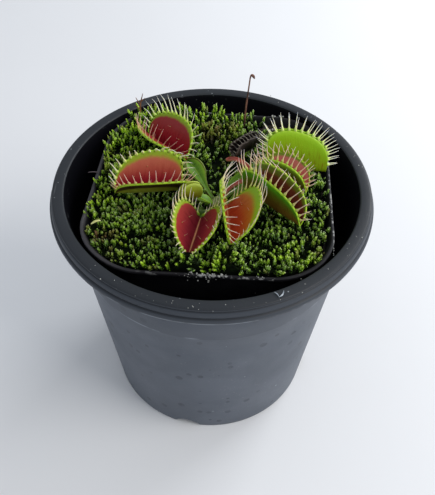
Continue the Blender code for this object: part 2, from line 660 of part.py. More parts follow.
def make_moss(leaves, material):
    """The moss carpet: a closed sheet on the soil with pointed tufts, pressed down under the leaves."""
    rng = random.Random(7)
    outline = moss_outline(rng)
    hollows = [[CROWN + polar(CROWN_HOLLOW, 360 * k / 14) for k in range(14)],
               [STALK_FOOT + polar(STALK_HOLLOW, 360 * k / 6) for k in range(6)]]
    points, tufts = moss_points(outline, hollows, rng)
    plan, rim_edges = [], []
    for ring in [outline] + hollows:
        first = len(plan)
        plan += ring
        rim_edges += [(first + k, first + (k + 1) % len(ring)) for k in range(len(ring))]
    rim_count = len(plan)
    plan += points
    lifts = [0.0] * rim_count + tufts
    heights = []
    for point, lift in zip(plan, lifts):
        low = carpet_height(point.x, point.y)
        growth = MOSS_SHOOT * (1 + 0.5 * (low - SOIL_TOP - 1.7 * MM) / TALL_MOSS)
        heights.append(low + lift * growth)
    tree = kdtree.KDTree(len(plan))
    for k, point in enumerate(plan):
        tree.insert(point.to_2d().to_3d(), k)
    tree.balance()
    for sample in leaf_samples(leaves):
        for _, k, _ in tree.find_range((sample.x, sample.y, 0.0), PRESS_REACH):
            heights[k] = min(heights[k], sample.z - LEAF_CLEARANCE)
    heights = [max(height, MOSS_BOTTOM + MOSS_MIN) for height in heights]

    def carpet_faces(used):
        for face in triangulate(used, rim_edges):
            middle = sum((used[k] for k in face), Vector()) / 3
            if not any(inside_polygon(middle, hollow) for hollow in hollows):
                yield face

    bm = bmesh.new()
    top = [bm.verts.new((point.x, point.y, height)) for point, height in zip(plan, heights)]
    bottom = [bm.verts.new((point.x, point.y, MOSS_BOTTOM)) for point in plan[:rim_count]]
    for face in carpet_faces(plan):
        bm.faces.new([top[k] for k in face])
    for face in carpet_faces(plan[:rim_count]):
        bm.faces.new([bottom[k] for k in reversed(face)])
    for start, end in rim_edges:
        bm.faces.new((top[start], top[end], bottom[end], bottom[start]))
    return add_object("moss", bm, material)


def build():
    clear_scene()
    make_round_pot(make_material("slate_plastic", (0.075, 0.082, 0.095), 0.5))
    make_square_pot(make_material("black_plastic", (0.012, 0.012, 0.014), 0.4))
    make_soil(make_material("peat", (0.030, 0.022, 0.016), 0.95))
    make_crown(make_material("crown", (0.30, 0.38, 0.14), 0.5))
    red_trap = make_material("red_trap", (0.36, 0.05, 0.06), 0.45)
    orange_trap = make_material("orange_trap", (0.45, 0.16, 0.05), 0.45)
    green_trap = make_material("green_trap", (0.30, 0.52, 0.05), 0.45)
    withered = make_material("withered", (0.06, 0.04, 0.035), 0.8)
    finishes = {
        "leaf_d": orange_trap,
        "leaf_g": green_trap,
        "bud_leaf": green_trap,
        "withered_leaf": withered,
    }
    leaves = [make_leaf(name, leaf, finishes.get(name, red_trap)) for name, leaf in LEAVES.items()]
    make_stalk(make_material("dried_stalk", (0.12, 0.05, 0.03), 0.8))
    make_moss(leaves, make_material("moss", (0.10, 0.26, 0.03), 0.8))


build()
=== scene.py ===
# %% [markdown]
# # A Venus flytrap in two nursery pots
#
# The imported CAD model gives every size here: a round slate-grey pot, a thin black square pot standing in
# it, a block of peat, a carpet of moss and a small Venus flytrap. This notebook makes the finished looks
# round that model, piece by piece. All lengths are metres, +Z is up and +Y points to the back.

# %% Load the frame
import json
import math
import random
from collections import namedtuple

import bmesh
import bpy
import numpy as np
from mathutils import Matrix, Vector, geometry, noise
from mathutils.bvhtree import BVHTree

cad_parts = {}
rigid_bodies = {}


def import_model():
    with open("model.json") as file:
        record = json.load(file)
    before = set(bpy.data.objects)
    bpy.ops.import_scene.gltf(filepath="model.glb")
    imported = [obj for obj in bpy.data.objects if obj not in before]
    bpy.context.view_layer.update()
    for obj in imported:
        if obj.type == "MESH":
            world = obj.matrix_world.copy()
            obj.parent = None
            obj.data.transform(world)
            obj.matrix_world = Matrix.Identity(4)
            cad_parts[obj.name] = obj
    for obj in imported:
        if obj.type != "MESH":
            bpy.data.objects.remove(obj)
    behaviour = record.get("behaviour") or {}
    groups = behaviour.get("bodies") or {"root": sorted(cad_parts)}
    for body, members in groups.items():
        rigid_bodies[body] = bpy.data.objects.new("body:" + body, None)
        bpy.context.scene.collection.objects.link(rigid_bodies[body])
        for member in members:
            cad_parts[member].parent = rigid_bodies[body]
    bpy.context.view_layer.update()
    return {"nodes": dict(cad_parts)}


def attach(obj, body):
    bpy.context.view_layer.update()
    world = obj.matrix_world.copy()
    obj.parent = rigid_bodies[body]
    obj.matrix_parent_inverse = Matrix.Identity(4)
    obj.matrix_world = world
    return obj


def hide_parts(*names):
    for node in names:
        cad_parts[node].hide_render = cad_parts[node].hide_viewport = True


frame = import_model()
MM = 0.001
noise.seed_set(3)                   # the same noise on every run
print("nodes:", ", ".join(sorted(frame["nodes"])))

# %% [markdown]
# ## Camera, floor and light
#
# The viewing angle comes first, because every later choice is judged through it. A camera's direction can
# be set by hand, by a constraint or by a matrix. Here it is a matrix: a tilt about X from looking straight
# down, then a small roll about the lens axis, which Euler angles in the usual order can't say directly.

# %% Camera
CAMERA_PLACE = Vector((2.487, -195.218, 290.458)) * MM
CAMERA_TILT = math.radians(90 - 48.273)
CAMERA_ROLL = math.radians(1.265)
LENS = 51.12                       # mm, on a sensor 36 mm along its longer side

bpy.ops.object.select_all(action="DESELECT")
bpy.ops.object.camera_add()
camera = bpy.context.object
camera.name = "camera"
camera.matrix_world = (Matrix.Translation(CAMERA_PLACE) @ Matrix.Rotation(CAMERA_TILT, 4, "X")
                       @ Matrix.Rotation(CAMERA_ROLL, 4, "Z"))
camera.data.lens = LENS
camera.data.sensor_width = 36.0
camera.data.clip_start = 0.01
bpy.context.scene.camera = camera
print("camera", tuple(round(value, 4) for value in camera.location))

# %% [markdown]
# Soft daylight can be a bright sky, one large lamp or both. Both are used: the sky fills the shadows, and
# a wide area lamp from the right gives the pot its lighter right side and its faint shadow on the left.

# %% Floor and lights
bpy.context.scene.view_settings.view_transform = "Standard"


def add_area_light(name, place, target, size, power, colour):
    bpy.ops.object.light_add(type="AREA", location=place)
    light = bpy.context.object
    light.name = name
    light.rotation_euler = (Vector(target) - Vector(place)).to_track_quat("-Z", "Y").to_euler()
    light.data.size = size
    light.data.energy = power
    light.data.color = colour
    print(name, power, "W")


bpy.ops.mesh.primitive_plane_add(size=4.0, location=(0, 0, 0))
floor = bpy.context.object
floor.name = "floor"
add_area_light("window_light", (0.92, -0.36, 0.87), (0, 0, 0.08), 0.8, 9.5, (1.0, 0.98, 0.95))
add_area_light("back_light", (0.50, 0.50, 0.42), (0, 0, 0.07), 0.4, 3.2, (0.94, 0.97, 1.0))
world = bpy.data.worlds.new("soft_sky")
bpy.context.scene.world = world
world.use_nodes = True
world.node_tree.nodes["Background"].inputs["Color"].default_value = (0.86, 0.92, 1.0, 1.0)
world.node_tree.nodes["Background"].inputs["Strength"].default_value = 0.60

# %% [markdown]
# ## Small helpers
#
# An operator acts on whatever is selected, so each helper first says exactly what that is. `pick` does it
# for objects, and `select_verts` for vertices, by their place. Meshes are edited between `start_editing`
# and `finish_editing`, which also turns every face outwards.

# %% Helpers for selecting and editing


def pick(*objects):
    """Select these objects and nothing else; the last one is active."""
    bpy.ops.object.select_all(action="DESELECT")
    for obj in objects:
        obj.select_set(True)
    bpy.context.view_layer.objects.active = objects[-1]


def select_verts(obj, test):
    """In edit mode, select the vertices whose place passes a test."""
    bpy.ops.mesh.select_mode(type="VERT")
    bpy.ops.mesh.select_all(action="DESELECT")
    mesh = bmesh.from_edit_mesh(obj.data)
    for vert in mesh.verts:
        vert.select = test(obj.matrix_world @ vert.co)
    mesh.select_flush(True)
    bmesh.update_edit_mesh(obj.data)


def start_editing():
    """Enter edit mode on the active object, with its whole mesh selected."""
    bpy.ops.object.mode_set(mode="EDIT")
    bpy.ops.mesh.select_all(action="SELECT")


def finish_editing():
    """Turn all faces outwards and leave edit mode."""
    bpy.ops.mesh.select_all(action="SELECT")
    bpy.ops.mesh.normals_make_consistent(inside=False)
    bpy.ops.object.mode_set(mode="OBJECT")


def apply_modifier(obj, kind, **settings):
    pick(obj)
    modifier = obj.modifiers.new(kind.lower(), kind)
    for key, value in settings.items():
        setattr(modifier, key, value)
    bpy.ops.object.modifier_apply(modifier=modifier.name)


def set_in_place(obj):
    """Move an object's place, turn and scale into its mesh."""
    pick(obj)
    bpy.ops.object.transform_apply(location=True, rotation=True, scale=True)


print("editing helpers ready")

# %% [markdown]
# A finished piece is often joined from several objects. The joined piece gets its place in its own mesh,
# and is then handed over with the CAD nodes that it stands for.

# %% Helpers for making and handing over a piece


def new_piece(name, data, material):
    """An object in the scene, made from a mesh or a curve, with its one material."""
    data.materials.append(material)
    obj = bpy.data.objects.new(name, data)
    bpy.context.scene.collection.objects.link(obj)
    return obj


def join(name, objects):
    pick(*objects)
    if len(objects) > 1:
        bpy.ops.object.join()
    joined = bpy.context.view_layer.objects.active
    joined.name = name
    set_in_place(joined)
    return joined


def hand_over(obj, slot, *nodes):
    """The piece rides on the part's one body and stands for CAD nodes, which it hides; the slot is not used.
    """
    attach(obj, "root")
    if nodes:
        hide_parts(*nodes)
    print(obj.name, "-", len(obj.data.polygons), "faces")


def coordinates(obj):
    """The places of an object's vertices, as rows of an array."""
    places = np.empty(len(obj.data.vertices) * 3)
    obj.data.vertices.foreach_get("co", places)
    return places.reshape(-1, 3)


def set_coordinates(obj, places):
    obj.data.vertices.foreach_set("co", np.ascontiguousarray(places, dtype=np.float32).ravel())
    obj.data.update()


print("piece helpers ready")

# %% [markdown]
# ## Shared surface effects
#
# A finish is mostly small irregularities. They could be painted into pictures, but nodes work them out at
# any distance and on any side. A few short helpers place a node and wire it in one line, so that a
# material reads like a recipe.

# %% Node helpers


def add_node(tree, kind, wires=None, **settings):
    """Add a node, set its properties, and link or fill its inputs."""
    node = tree.nodes.new(kind)
    for key, value in settings.items():
        setattr(node, key, value)
    for key, value in (wires or {}).items():
        if isinstance(value, bpy.types.NodeSocket):
            tree.links.new(value, node.inputs[key])
        else:
            node.inputs[key].default_value = value
    return node


def maths(tree, operation, first, second=0.0, clamp=False):
    return add_node(tree, "ShaderNodeMath", {0: first, 1: second}, operation=operation,
                    use_clamp=clamp).outputs[0]


def blend_colours(tree, factor, first, second, mode="MIX"):
    node = add_node(tree, "ShaderNodeMix", {0: factor, 6: first, 7: second}, data_type="RGBA",
                    blend_type=mode)
    return node.outputs[2]


def ramp(tree, factor, stops):
    """A colour ramp through (position, colour) stops."""
    node = add_node(tree, "ShaderNodeValToRGB", {0: factor})
    elements = node.color_ramp.elements
    while len(elements) < len(stops):
        elements.new(0.5)
    for element, (position, colour) in zip(elements, stops):
        element.position = position
        element.color = (*colour, 1.0) if len(colour) == 3 else colour
    return node.outputs[0]


def mask_ramp(tree, factor, low, high):
    """0 below low, 1 above high."""
    return add_node(tree, "ShaderNodeMapRange", {"Value": factor, "From Min": low, "From Max": high},
                    interpolation_type="SMOOTHSTEP").outputs[0]


def soft_noise(tree, place, scale, detail, roughness=0.5):
    """A cloudy value between 0 and 1."""
    return add_node(tree, "ShaderNodeTexNoise", {"Vector": place, "Scale": scale, "Detail": detail,
                                                 "Roughness": roughness}).outputs["Fac"]


print("node helpers ready")

# %% [markdown]
# Each effect that several materials need is a node group: it is built once, and every material places it
# with its own numbers. `mottle` varies a colour softly, `specks` scatters round grains of dust, and
# `fine_grain` gives a height for a bump.

# %% Shared groups
FLOAT, COLOUR, VECTOR = "NodeSocketFloat", "NodeSocketColor", "NodeSocketVector"


def new_group(name, inputs, outputs):
    group = bpy.data.node_groups.new(name, "ShaderNodeTree")
    for socket, kind, value in inputs:
        made = group.interface.new_socket(socket, in_out="INPUT", socket_type=kind)
        if value is not None:
            made.default_value = value
    for socket, kind in outputs:
        group.interface.new_socket(socket, in_out="OUTPUT", socket_type=kind)
    return group, group.nodes.new("NodeGroupInput"), group.nodes.new("NodeGroupOutput")


def use_group(tree, group, **wires):
    return add_node(tree, "ShaderNodeGroup", wires, node_tree=group)


mottle, given, result = new_group(
    "mottle",
    [("Vector", VECTOR, None), ("Scale", FLOAT, 60.0), ("Dark", COLOUR, None), ("Light", COLOUR, None)],
    [("Color", COLOUR)])
inputs = given.outputs
factor = mask_ramp(mottle, soft_noise(mottle, inputs["Vector"], inputs["Scale"], 5.0, 0.6), 0.32, 0.68)
mottle.links.new(blend_colours(mottle, factor, inputs["Dark"], inputs["Light"]), result.inputs["Color"])

specks, given, result = new_group(
    "specks",
    [("Vector", VECTOR, None), ("Scale", FLOAT, 300.0), ("Size", FLOAT, 0.2), ("Share", FLOAT, 0.2)],
    [("Mask", FLOAT)])
inputs = given.outputs
cells = add_node(specks, "ShaderNodeTexVoronoi", {"Vector": inputs["Vector"], "Scale": inputs["Scale"]})
chosen = add_node(specks, "ShaderNodeSeparateColor", {0: cells.outputs["Color"]})
radius = maths(specks, "MULTIPLY", inputs["Size"], chosen.outputs[1])
near = maths(specks, "LESS_THAN", cells.outputs["Distance"], radius)
kept = maths(specks, "LESS_THAN", chosen.outputs[0], inputs["Share"])
specks.links.new(maths(specks, "MULTIPLY", near, kept), result.inputs["Mask"])

fine_grain, given, result = new_group(
    "fine_grain", [("Vector", VECTOR, None), ("Scale", FLOAT, 1500.0)], [("Height", FLOAT)])
grain = soft_noise(fine_grain, given.outputs["Vector"], given.outputs["Scale"], 3.0)
fine_grain.links.new(grain, result.inputs["Height"])
print("groups:", ", ".join(group.name for group in bpy.data.node_groups))

# %% [markdown]
# A material starts from its object coordinates, so that a pattern keeps its size on every piece. Many
# small pieces need no more than a mottled colour and perhaps some grain, and `plain_finish` makes these.

# %% Material helpers


def new_material(name, **sockets):
    """A material with its object coordinates and its shader, whose plain sockets are set by name."""
    material = bpy.data.materials.new(name)
    material.use_nodes = True
    tree = material.node_tree
    shader = tree.nodes["Principled BSDF"]
    for key, value in sockets.items():
        shader.inputs[key.replace("_", " ")].default_value = value
    place = add_node(tree, "ShaderNodeTexCoord").outputs["Object"]
    return material, tree, shader, place


def bump(tree, shader, height, strength, distance):
    node = add_node(tree, "ShaderNodeBump", {"Height": height, "Strength": strength, "Distance": distance})
    tree.links.new(node.outputs[0], shader.inputs["Normal"])


def mottled(tree, place, scale, dark, light):
    """A colour that varies softly between a dark and a light one."""
    return use_group(tree, mottle, Vector=place, Scale=scale, Dark=(*dark, 1), Light=(*light, 1)).outputs[0]


def speckled(tree, place, scale, size, share):
    """1 on scattered round specks, 0 between them."""
    return use_group(tree, specks, Vector=place, Scale=scale, Size=size, Share=share).outputs[0]


def grainy(tree, shader, place, scale, strength, distance):
    """Roughen a surface with fine grain."""
    bump(tree, shader, use_group(tree, fine_grain, Vector=place, Scale=scale).outputs[0], strength, distance)


def lay_over(tree, colour, layers):
    """Lay (mask, share, tint) layers over a colour, one after the other."""
    for mask, share, tint in layers:
        colour = blend_colours(tree, maths(tree, "MULTIPLY", mask, share), colour, (*tint, 1))
    return colour


def plain_finish(name, scale, dark, light, grain=None, **sockets):
    """A mottled material; grain is the scale, strength and distance of its bump."""
    material, tree, shader, place = new_material(name, **sockets)
    tree.links.new(mottled(tree, place, scale, dark, light), shader.inputs["Base Color"])
    if grain:
        grainy(tree, shader, place, *grain)
    return material


pale_floor = plain_finish("pale_floor", 3.0, (0.77, 0.77, 0.78), (0.79, 0.79, 0.80), Roughness=0.6)
floor.data.materials.append(pale_floor)
print("floor finish:", pale_floor.name)

# %% [markdown]
# ## Plastics
#
# Both pots are matt recycled plastic, faintly cloudy, dusted with pale specks and marked by a few fine
# scratches. A scratch is a noise that is stretched some forty times longer one way than the other, and
# then cut off so that only its peaks remain. Dust and scratches also take the gloss away a little.

# %% Marks on plastic


def scratches(tree, place, level=0.75):
    """Fine sparse lines, in a few areas only."""
    stretched = add_node(tree, "ShaderNodeMapping", {"Vector": place, "Rotation": (0.4, 0.3, 0.9),
                                                     "Scale": (900.0, 22.0, 900.0)})
    lines = soft_noise(tree, stretched.outputs[0], 1.0, 0.0)
    areas = mask_ramp(tree, soft_noise(tree, place, 30.0, 1.0), 0.52, 0.62)
    return maths(tree, "MULTIPLY", mask_ramp(tree, lines, level, level + 0.03), areas)


def ring_lines(tree, height, rings):
    """1 on thin rings round the pot, each a height and half a width, and 0 between them."""
    lines = 0.0
    for level, half_width in rings:
        away = maths(tree, "ABSOLUTE", maths(tree, "SUBTRACT", height, level))
        lines = maths(tree, "MAXIMUM", lines, mask_ramp(tree, away, half_width, half_width * 0.4))
    return lines


def finish_plastic(tree, shader, place, colour, dust, dust_share, roughness):
    """Dust, scratches, uneven gloss and grain over a plastic's own colour."""
    fine = speckled(tree, place, 620.0, 0.17, dust_share)
    coarse = speckled(tree, place, 240.0, 0.11, maths(tree, "MULTIPLY", dust_share, 0.6))
    spots = maths(tree, "MULTIPLY", maths(tree, "MAXIMUM", fine, coarse), 0.75)
    dusty = maths(tree, "MAXIMUM", spots, maths(tree, "MULTIPLY", scratches(tree, place), 0.15))
    tree.links.new(blend_colours(tree, dusty, colour, (*dust, 1)), shader.inputs["Base Color"])
    uneven = maths(tree, "MULTIPLY", soft_noise(tree, place, 70.0, 4.0), 0.2)
    rough = maths(tree, "ADD", uneven, roughness - 0.1)
    tree.links.new(maths(tree, "ADD", rough, maths(tree, "MULTIPLY", dusty, 0.3)), shader.inputs["Roughness"])
    grainy(tree, shader, place, 1400.0, 0.12, 0.0004)


print("plastic marks ready")

# %% [markdown]
# The round pot is slate grey on its wall, a little darker at the neck, where painted shade stands for the
# skirt's shadow, darker still at the rim, and painted nearly black inside as painted shade. Painted shade
# darkens the rim's grooves, and a broken painted highlight lies along two edges. Painting each zone by
# hand would do, but all of them follow the height and the distance to the pot's axis. So each is a mask
# worked out from these two, and laid over the wall's colour in turn.

# %% Slate plastic
NECK_FOOT, RIM_FOOT, POT_TOP = 0.0811, 0.1015, 0.1084
WALL_SLOPE, INSIDE_LIMIT = 0.1135, 0.0434     # the inside is where radius - slope * height is less
# painted shade in the rim's grooves
GROOVES = ((0.1071, 0.00045), (0.1043, 0.0005), (0.1016, 0.0005))     # height and half width
# a broken painted highlight on the neck's step and on the lip: height and half width
LIT_EDGE_LINES = ((NECK_FOOT + 0.0010, 0.0007), (0.1024, 0.0003))

slate_plastic, tree, shader, place = new_material("slate_plastic", IOR=1.46, Specular_IOR_Level=0.4)
x, y, height = add_node(tree, "ShaderNodeSeparateXYZ", {0: place}).outputs
squares = [maths(tree, "MULTIPLY", part, part) for part in (x, y)]
distance = maths(tree, "SQRT", maths(tree, "ADD", *squares))
wall = mottled(tree, place, 38.0, (0.080, 0.094, 0.118), (0.104, 0.119, 0.147))
pits = maths(tree, "MULTIPLY", speckled(tree, place, 250.0, 0.42, 0.26), soft_noise(tree, place, 300.0, 2.0))
nicks = speckled(tree, place, 140.0, 0.075, 0.30)
# painted shade: the neck under the skirt is darkened where the skirt's shadow falls
neck = mask_ramp(tree, height, NECK_FOOT, NECK_FOOT + 0.0006)
rim = mask_ramp(tree, height, RIM_FOOT - 0.001, RIM_FOOT)
top = mask_ramp(tree, height, POT_TOP - 0.0009, POT_TOP - 0.0002)
# painted shade darkens the grooves
grooves = ring_lines(tree, height, GROOVES)
# painted highlight along two edges, broken by noise
highlight_breaks = mask_ramp(tree, soft_noise(tree, place, 90.0, 3.0), 0.46, 0.60)
edges = maths(tree, "MULTIPLY", ring_lines(tree, height, LIT_EDGE_LINES), highlight_breaks)
# painted shade: the inside is painted nearly black
lean_radius = maths(tree, "SUBTRACT", distance, maths(tree, "MULTIPLY", height, WALL_SLOPE))
inside = maths(tree, "LESS_THAN", lean_radius, INSIDE_LIMIT)
colour = lay_over(tree, wall, [
    (pits, 1.1, (0.036, 0.042, 0.054)),
    (nicks, 0.7, (0.34, 0.37, 0.40)),
    (neck, 0.50, (0.050, 0.060, 0.078)),
    (rim, 0.72, (0.026, 0.031, 0.040)),
    (top, 1.0, (0.017, 0.020, 0.025)),
    (grooves, 0.75, (0.008, 0.010, 0.014)),
    (edges, 0.8, (0.24, 0.27, 0.31)),
    (inside, 1.0, (0.0035, 0.0035, 0.0055)),
])
dust_share = maths(tree, "ADD", maths(tree, "MULTIPLY", top, 0.20), 0.006)
finish_plastic(tree, shader, place, colour, (0.36, 0.38, 0.40), dust_share, 0.52)
# the painted shade inside also damps the reflection
tree.links.new(maths(tree, "SUBTRACT", 0.42, maths(tree, "MULTIPLY", inside, 0.34)),
               shader.inputs["Specular IOR Level"])
print("slate plastic:", len(tree.nodes), "nodes")

# %% [markdown]
# The square pot is black and nearly plain. Its rim is painted lighter grey at the left, as painted light,
# and a broken pale line runs along the other sides of the lip, partly lime from hard water and partly a
# painted highlight on the lit edge. A Mapping node turns the coordinates into the pot's own plan, so that
# the line follows its sides.

# %% Black plastic
SQUARE_TURN, SQUARE_CENTRE = math.radians(-2.3), Vector((0.5, 0.5, 0.0)) * MM
PALE_LINE_EDGE = (0.0438, 0.0444)        # from the middle, where the pale line of lime and painted highlight fades in

black_plastic, tree, shader, place = new_material("black_plastic", IOR=1.46, Specular_IOR_Level=0.22)
plan = add_node(tree, "ShaderNodeMapping", {"Vector": place, "Location": SQUARE_CENTRE,
                                            "Rotation": (0, 0, SQUARE_TURN)}, vector_type="TEXTURE")
plan_x, plan_y, height = add_node(tree, "ShaderNodeSeparateXYZ", {0: plan.outputs[0]}).outputs
black = mottled(tree, place, 60.0, (0.0030, 0.0030, 0.0045), (0.0080, 0.0080, 0.0095))
rim = mask_ramp(tree, height, 0.1052, 0.1062)
# painted light: the rim is lighter at the left and darker at the right
lit_left = mask_ramp(tree, plan_x, -0.020, -0.042)
rim_colour = blend_colours(tree, lit_left, (0.011, 0.010, 0.012, 1), (0.052, 0.049, 0.054, 1))
# a broken pale line on the lip, partly lime and partly a painted highlight of the lit edge
pale_line_noise = soft_noise(tree, place, 520.0, 3.0)
right_line = maths(tree, "MULTIPLY", mask_ramp(tree, pale_line_noise, 0.50, 0.60), mask_ramp(tree, plan_x, *PALE_LINE_EDGE))
ends = mask_ramp(tree, maths(tree, "ABSOLUTE", plan_y), *PALE_LINE_EDGE)
ends = maths(tree, "MULTIPLY", ends, mask_ramp(tree, plan_x, -0.028, -0.004))
end_line = maths(tree, "MULTIPLY", mask_ramp(tree, pale_line_noise, 0.53, 0.61), ends)
lime_and_highlight = maths(tree, "MULTIPLY", rim, maths(tree, "MAXIMUM", right_line, end_line))
colour = blend_colours(tree, lime_and_highlight, blend_colours(tree, rim, black, rim_colour), (0.30, 0.30, 0.29, 1))
dust_share = maths(tree, "ADD", maths(tree, "MULTIPLY", rim, 0.08), 0.01)
finish_plastic(tree, shader, place, colour, (0.34, 0.34, 0.33), dust_share, 0.5)
print("black plastic:", len(tree.nodes), "nodes")

# %% [markdown]
# ## The round pot
#
# A nursery pot is one thin moulding: a floor with drain holes, a tapered wall, a faint step under the neck
# and a rim that turns over into a grooved skirt. It could be spun from a drawn section. Here it grows from
# one circle instead, extruded and scaled ring by ring, as a potter pulls a wall up: from the edge of the
# middle drain hole over the floor, up the inside, over the rim and down to the foot.

# %% Grow a wall from one loop


def in_metres(rings):
    return [(size * MM, height * MM) for size, height in rings]


def first_ring(name, rings, vertices, **settings):
    """A circle at the first of some (radius, height) rings, open for editing."""
    bpy.ops.object.select_all(action="DESELECT")
    bpy.ops.mesh.primitive_circle_add(vertices=vertices, radius=rings[0][0], location=(0, 0, rings[0][1]),
                                      **settings)
    obj = bpy.context.object
    obj.name = name
    set_in_place(obj)
    start_editing()
    return obj


def grow_rings(rings):
    """Extrude and scale the selected loop through (size, height) rings."""
    for (size, height), (next_size, next_height) in zip(rings, rings[1:]):
        bpy.ops.mesh.extrude_region_move(TRANSFORM_OT_translate={"value": (0, 0, next_height - height)})
        grow = next_size / size
        bpy.ops.transform.resize(value=(grow, grow, 1), center_override=(0, 0, 0))


def pull_rings(obj, rings):
    """Grow a wall through the rings and close it with the first one."""
    grow_rings(rings)
    first, last = rings[0], rings[-1]
    low, high = sorted((first[1], last[1]))
    reach = first[0] * 1.5
    select_verts(obj, lambda co: math.hypot(co.x, co.y) < reach and low - 0.1 * MM < co.z < high + 0.1 * MM)
    bpy.ops.mesh.bridge_edge_loops()
    finish_editing()


print("wall helpers ready")

# %% [markdown]
# The round pot's section is a list of rings, from the middle hole's edge to the foot and back to the hole
# along the underside. The close rings at the top make the lip, the skirt and its grooves.

# %% Round pot
ROUND_POT_RINGS = [                # (radius, height) in mm
    (4.0, 5.0), (22.0, 5.0), (42.2, 5.0), (43.3, 5.4), (43.7, 6.4), (46.0, 28.0), (48.4, 50.0),
    (50.8, 71.0), (51.9, 81.0), (52.15, 81.8), (53.5, 93.0), (54.6, 101.7), (55.3, 106.6),
    (55.65, 107.9), (55.9, 108.25), (56.25, 108.4), (59.1, 108.4), (59.6, 108.32), (59.93, 108.1),
    (60.08, 107.75), (60.0, 107.4), (59.8, 107.15), (59.95, 106.95), (60.35, 106.65), (60.55, 106.0),
    (60.72, 105.0), (60.6, 104.6), (60.42, 104.35), (60.6, 104.15), (61.15, 103.9), (61.38, 103.6),
    (61.4, 103.1), (61.38, 102.3), (61.25, 101.9), (60.9, 101.7), (60.3, 101.75), (59.9, 103.2),
    (59.0, 106.4), (57.6, 106.9), (56.6, 106.0), (55.6, 101.7), (54.65, 93.0), (53.5, 82.0),
    (53.2, 81.4), (52.85, 80.9), (51.4, 68.0), (49.3, 49.0), (47.0, 28.0), (44.4, 3.6), (44.1, 0.7),
    (43.85, 0.15), (43.5, 0.0), (42.9, 0.0), (42.65, 0.3), (42.7, 3.5), (42.0, 3.6), (22.0, 3.6), (4.0, 3.6)]
POT_SEGMENTS = 176

rings = in_metres(ROUND_POT_RINGS)
round_pot = first_ring("round_pot", rings, POT_SEGMENTS)
pull_rings(round_pot, rings)
print("round pot:", len(round_pot.data.vertices), "vertices")

# %% [markdown]
# Four shallow arches in the foot let water out, and four drain holes surround the middle one. A hole could
# be drawn into the rings, but a cutter is simpler: a cylinder for each, joined and subtracted at once.

# %% Foot arches and drain holes
ARCH_WIDTH, ARCH_RISE = 11.2 * MM, 4.2 * MM
ARCH_ANGLES = [-102 + 90 * k for k in range(4)]
ARCH_RADIUS = (ARCH_WIDTH ** 2 / 4 + ARCH_RISE ** 2) / (2 * ARCH_RISE)
FOOT_RADIUS = 43.5 * MM
DRAIN_RADIUS, DRAIN_CIRCLE = 4.0 * MM, 27.0 * MM
SMOOTH_LIMIT = math.radians(38)     # faces that meet at less than this are shaded as one surface


def polar(radius, degrees, height=0.0):
    angle = math.radians(degrees)
    return Vector((radius * math.cos(angle), radius * math.sin(angle), height))


cutters = []
for degrees in ARCH_ANGLES:
    bpy.ops.mesh.primitive_cylinder_add(
        vertices=48, radius=ARCH_RADIUS, depth=9 * MM,
        location=polar(FOOT_RADIUS, degrees, ARCH_RISE - ARCH_RADIUS),
        rotation=(0, math.pi / 2, math.radians(degrees)))
    cutters.append(bpy.context.object)
    bpy.ops.mesh.primitive_cylinder_add(
        vertices=32, radius=DRAIN_RADIUS, depth=6 * MM, location=polar(DRAIN_CIRCLE, degrees, 4 * MM))
    cutters.append(bpy.context.object)
cutter = join("pot_cutter", cutters)
apply_modifier(round_pot, "BOOLEAN", operation="DIFFERENCE", solver="EXACT", object=cutter)
bpy.data.objects.remove(cutter)
pick(round_pot)
bpy.ops.object.shade_smooth_by_angle(angle=SMOOTH_LIMIT)
round_pot.data.materials.clear()
round_pot.data.materials.append(slate_plastic)
hand_over(round_pot, "slate_plastic", "outer_pot")

# %% [markdown]
# ## The square pot
#
# The inner pot is thinner and black, a square with generous corners. Its plan starts as a plane whose
# corners are bevelled round, and only its outline is kept, with extra points on the straight sides. The
# outline is pulled up ring by ring like the round pot's.

# %% Square pot
SQUARE_HALF, SQUARE_CORNER = 44.6 * MM, 22.0 * MM
SQUARE_RIM = 106.5 * MM
SQUARE_POT_RINGS = [               # (half width, height) in mm
    (3.5, 6.5), (16.0, 6.5), (30.6, 6.5), (31.4, 7.3), (35.0, 40.0), (38.9, 75.0), (42.3, 104.2),
    (43.3, 105.9), (43.6, 106.4), (43.9, 106.5), (44.2, 106.5), (44.5, 106.35), (44.6, 106.1), (44.6, 105.3),
    (44.4, 104.95), (43.5, 104.9), (43.15, 104.6), (39.9, 75.0), (36.0, 40.0), (32.5, 6.6),
    (31.8, 5.5), (30.8, 5.3), (16.0, 5.3), (3.5, 5.3)]

bpy.ops.object.select_all(action="DESELECT")
bpy.ops.mesh.primitive_plane_add(size=2 * SQUARE_HALF, location=(0, 0, 0))
square_pot = bpy.context.object
square_pot.name = "square_pot_wall"
set_in_place(square_pot)
start_editing()
bpy.ops.mesh.bevel(offset=SQUARE_CORNER, segments=12, affect="VERTICES", profile=0.5)
bpy.ops.mesh.select_all(action="SELECT")
bpy.ops.mesh.delete(type="ONLY_FACE")
bpy.ops.mesh.select_all(action="SELECT")
straight = bmesh.from_edit_mesh(square_pot.data)
for edge in straight.edges:
    edge.select = edge.calc_length() > SQUARE_CORNER
straight.select_flush(False)
bmesh.update_edit_mesh(square_pot.data)
bpy.ops.mesh.select_mode(type="EDGE")
bpy.ops.mesh.subdivide(number_cuts=13)
bpy.ops.mesh.select_mode(type="VERT")
bpy.ops.mesh.select_all(action="SELECT")
rings = in_metres(SQUARE_POT_RINGS)
shrink = rings[0][0] / SQUARE_HALF
bpy.ops.transform.resize(value=(shrink, shrink, 1), center_override=(0, 0, 0))
bpy.ops.transform.translate(value=(0, 0, rings[0][1]))
pull_rings(square_pot, rings)
print("square pot:", len(square_pot.data.vertices), "vertices")

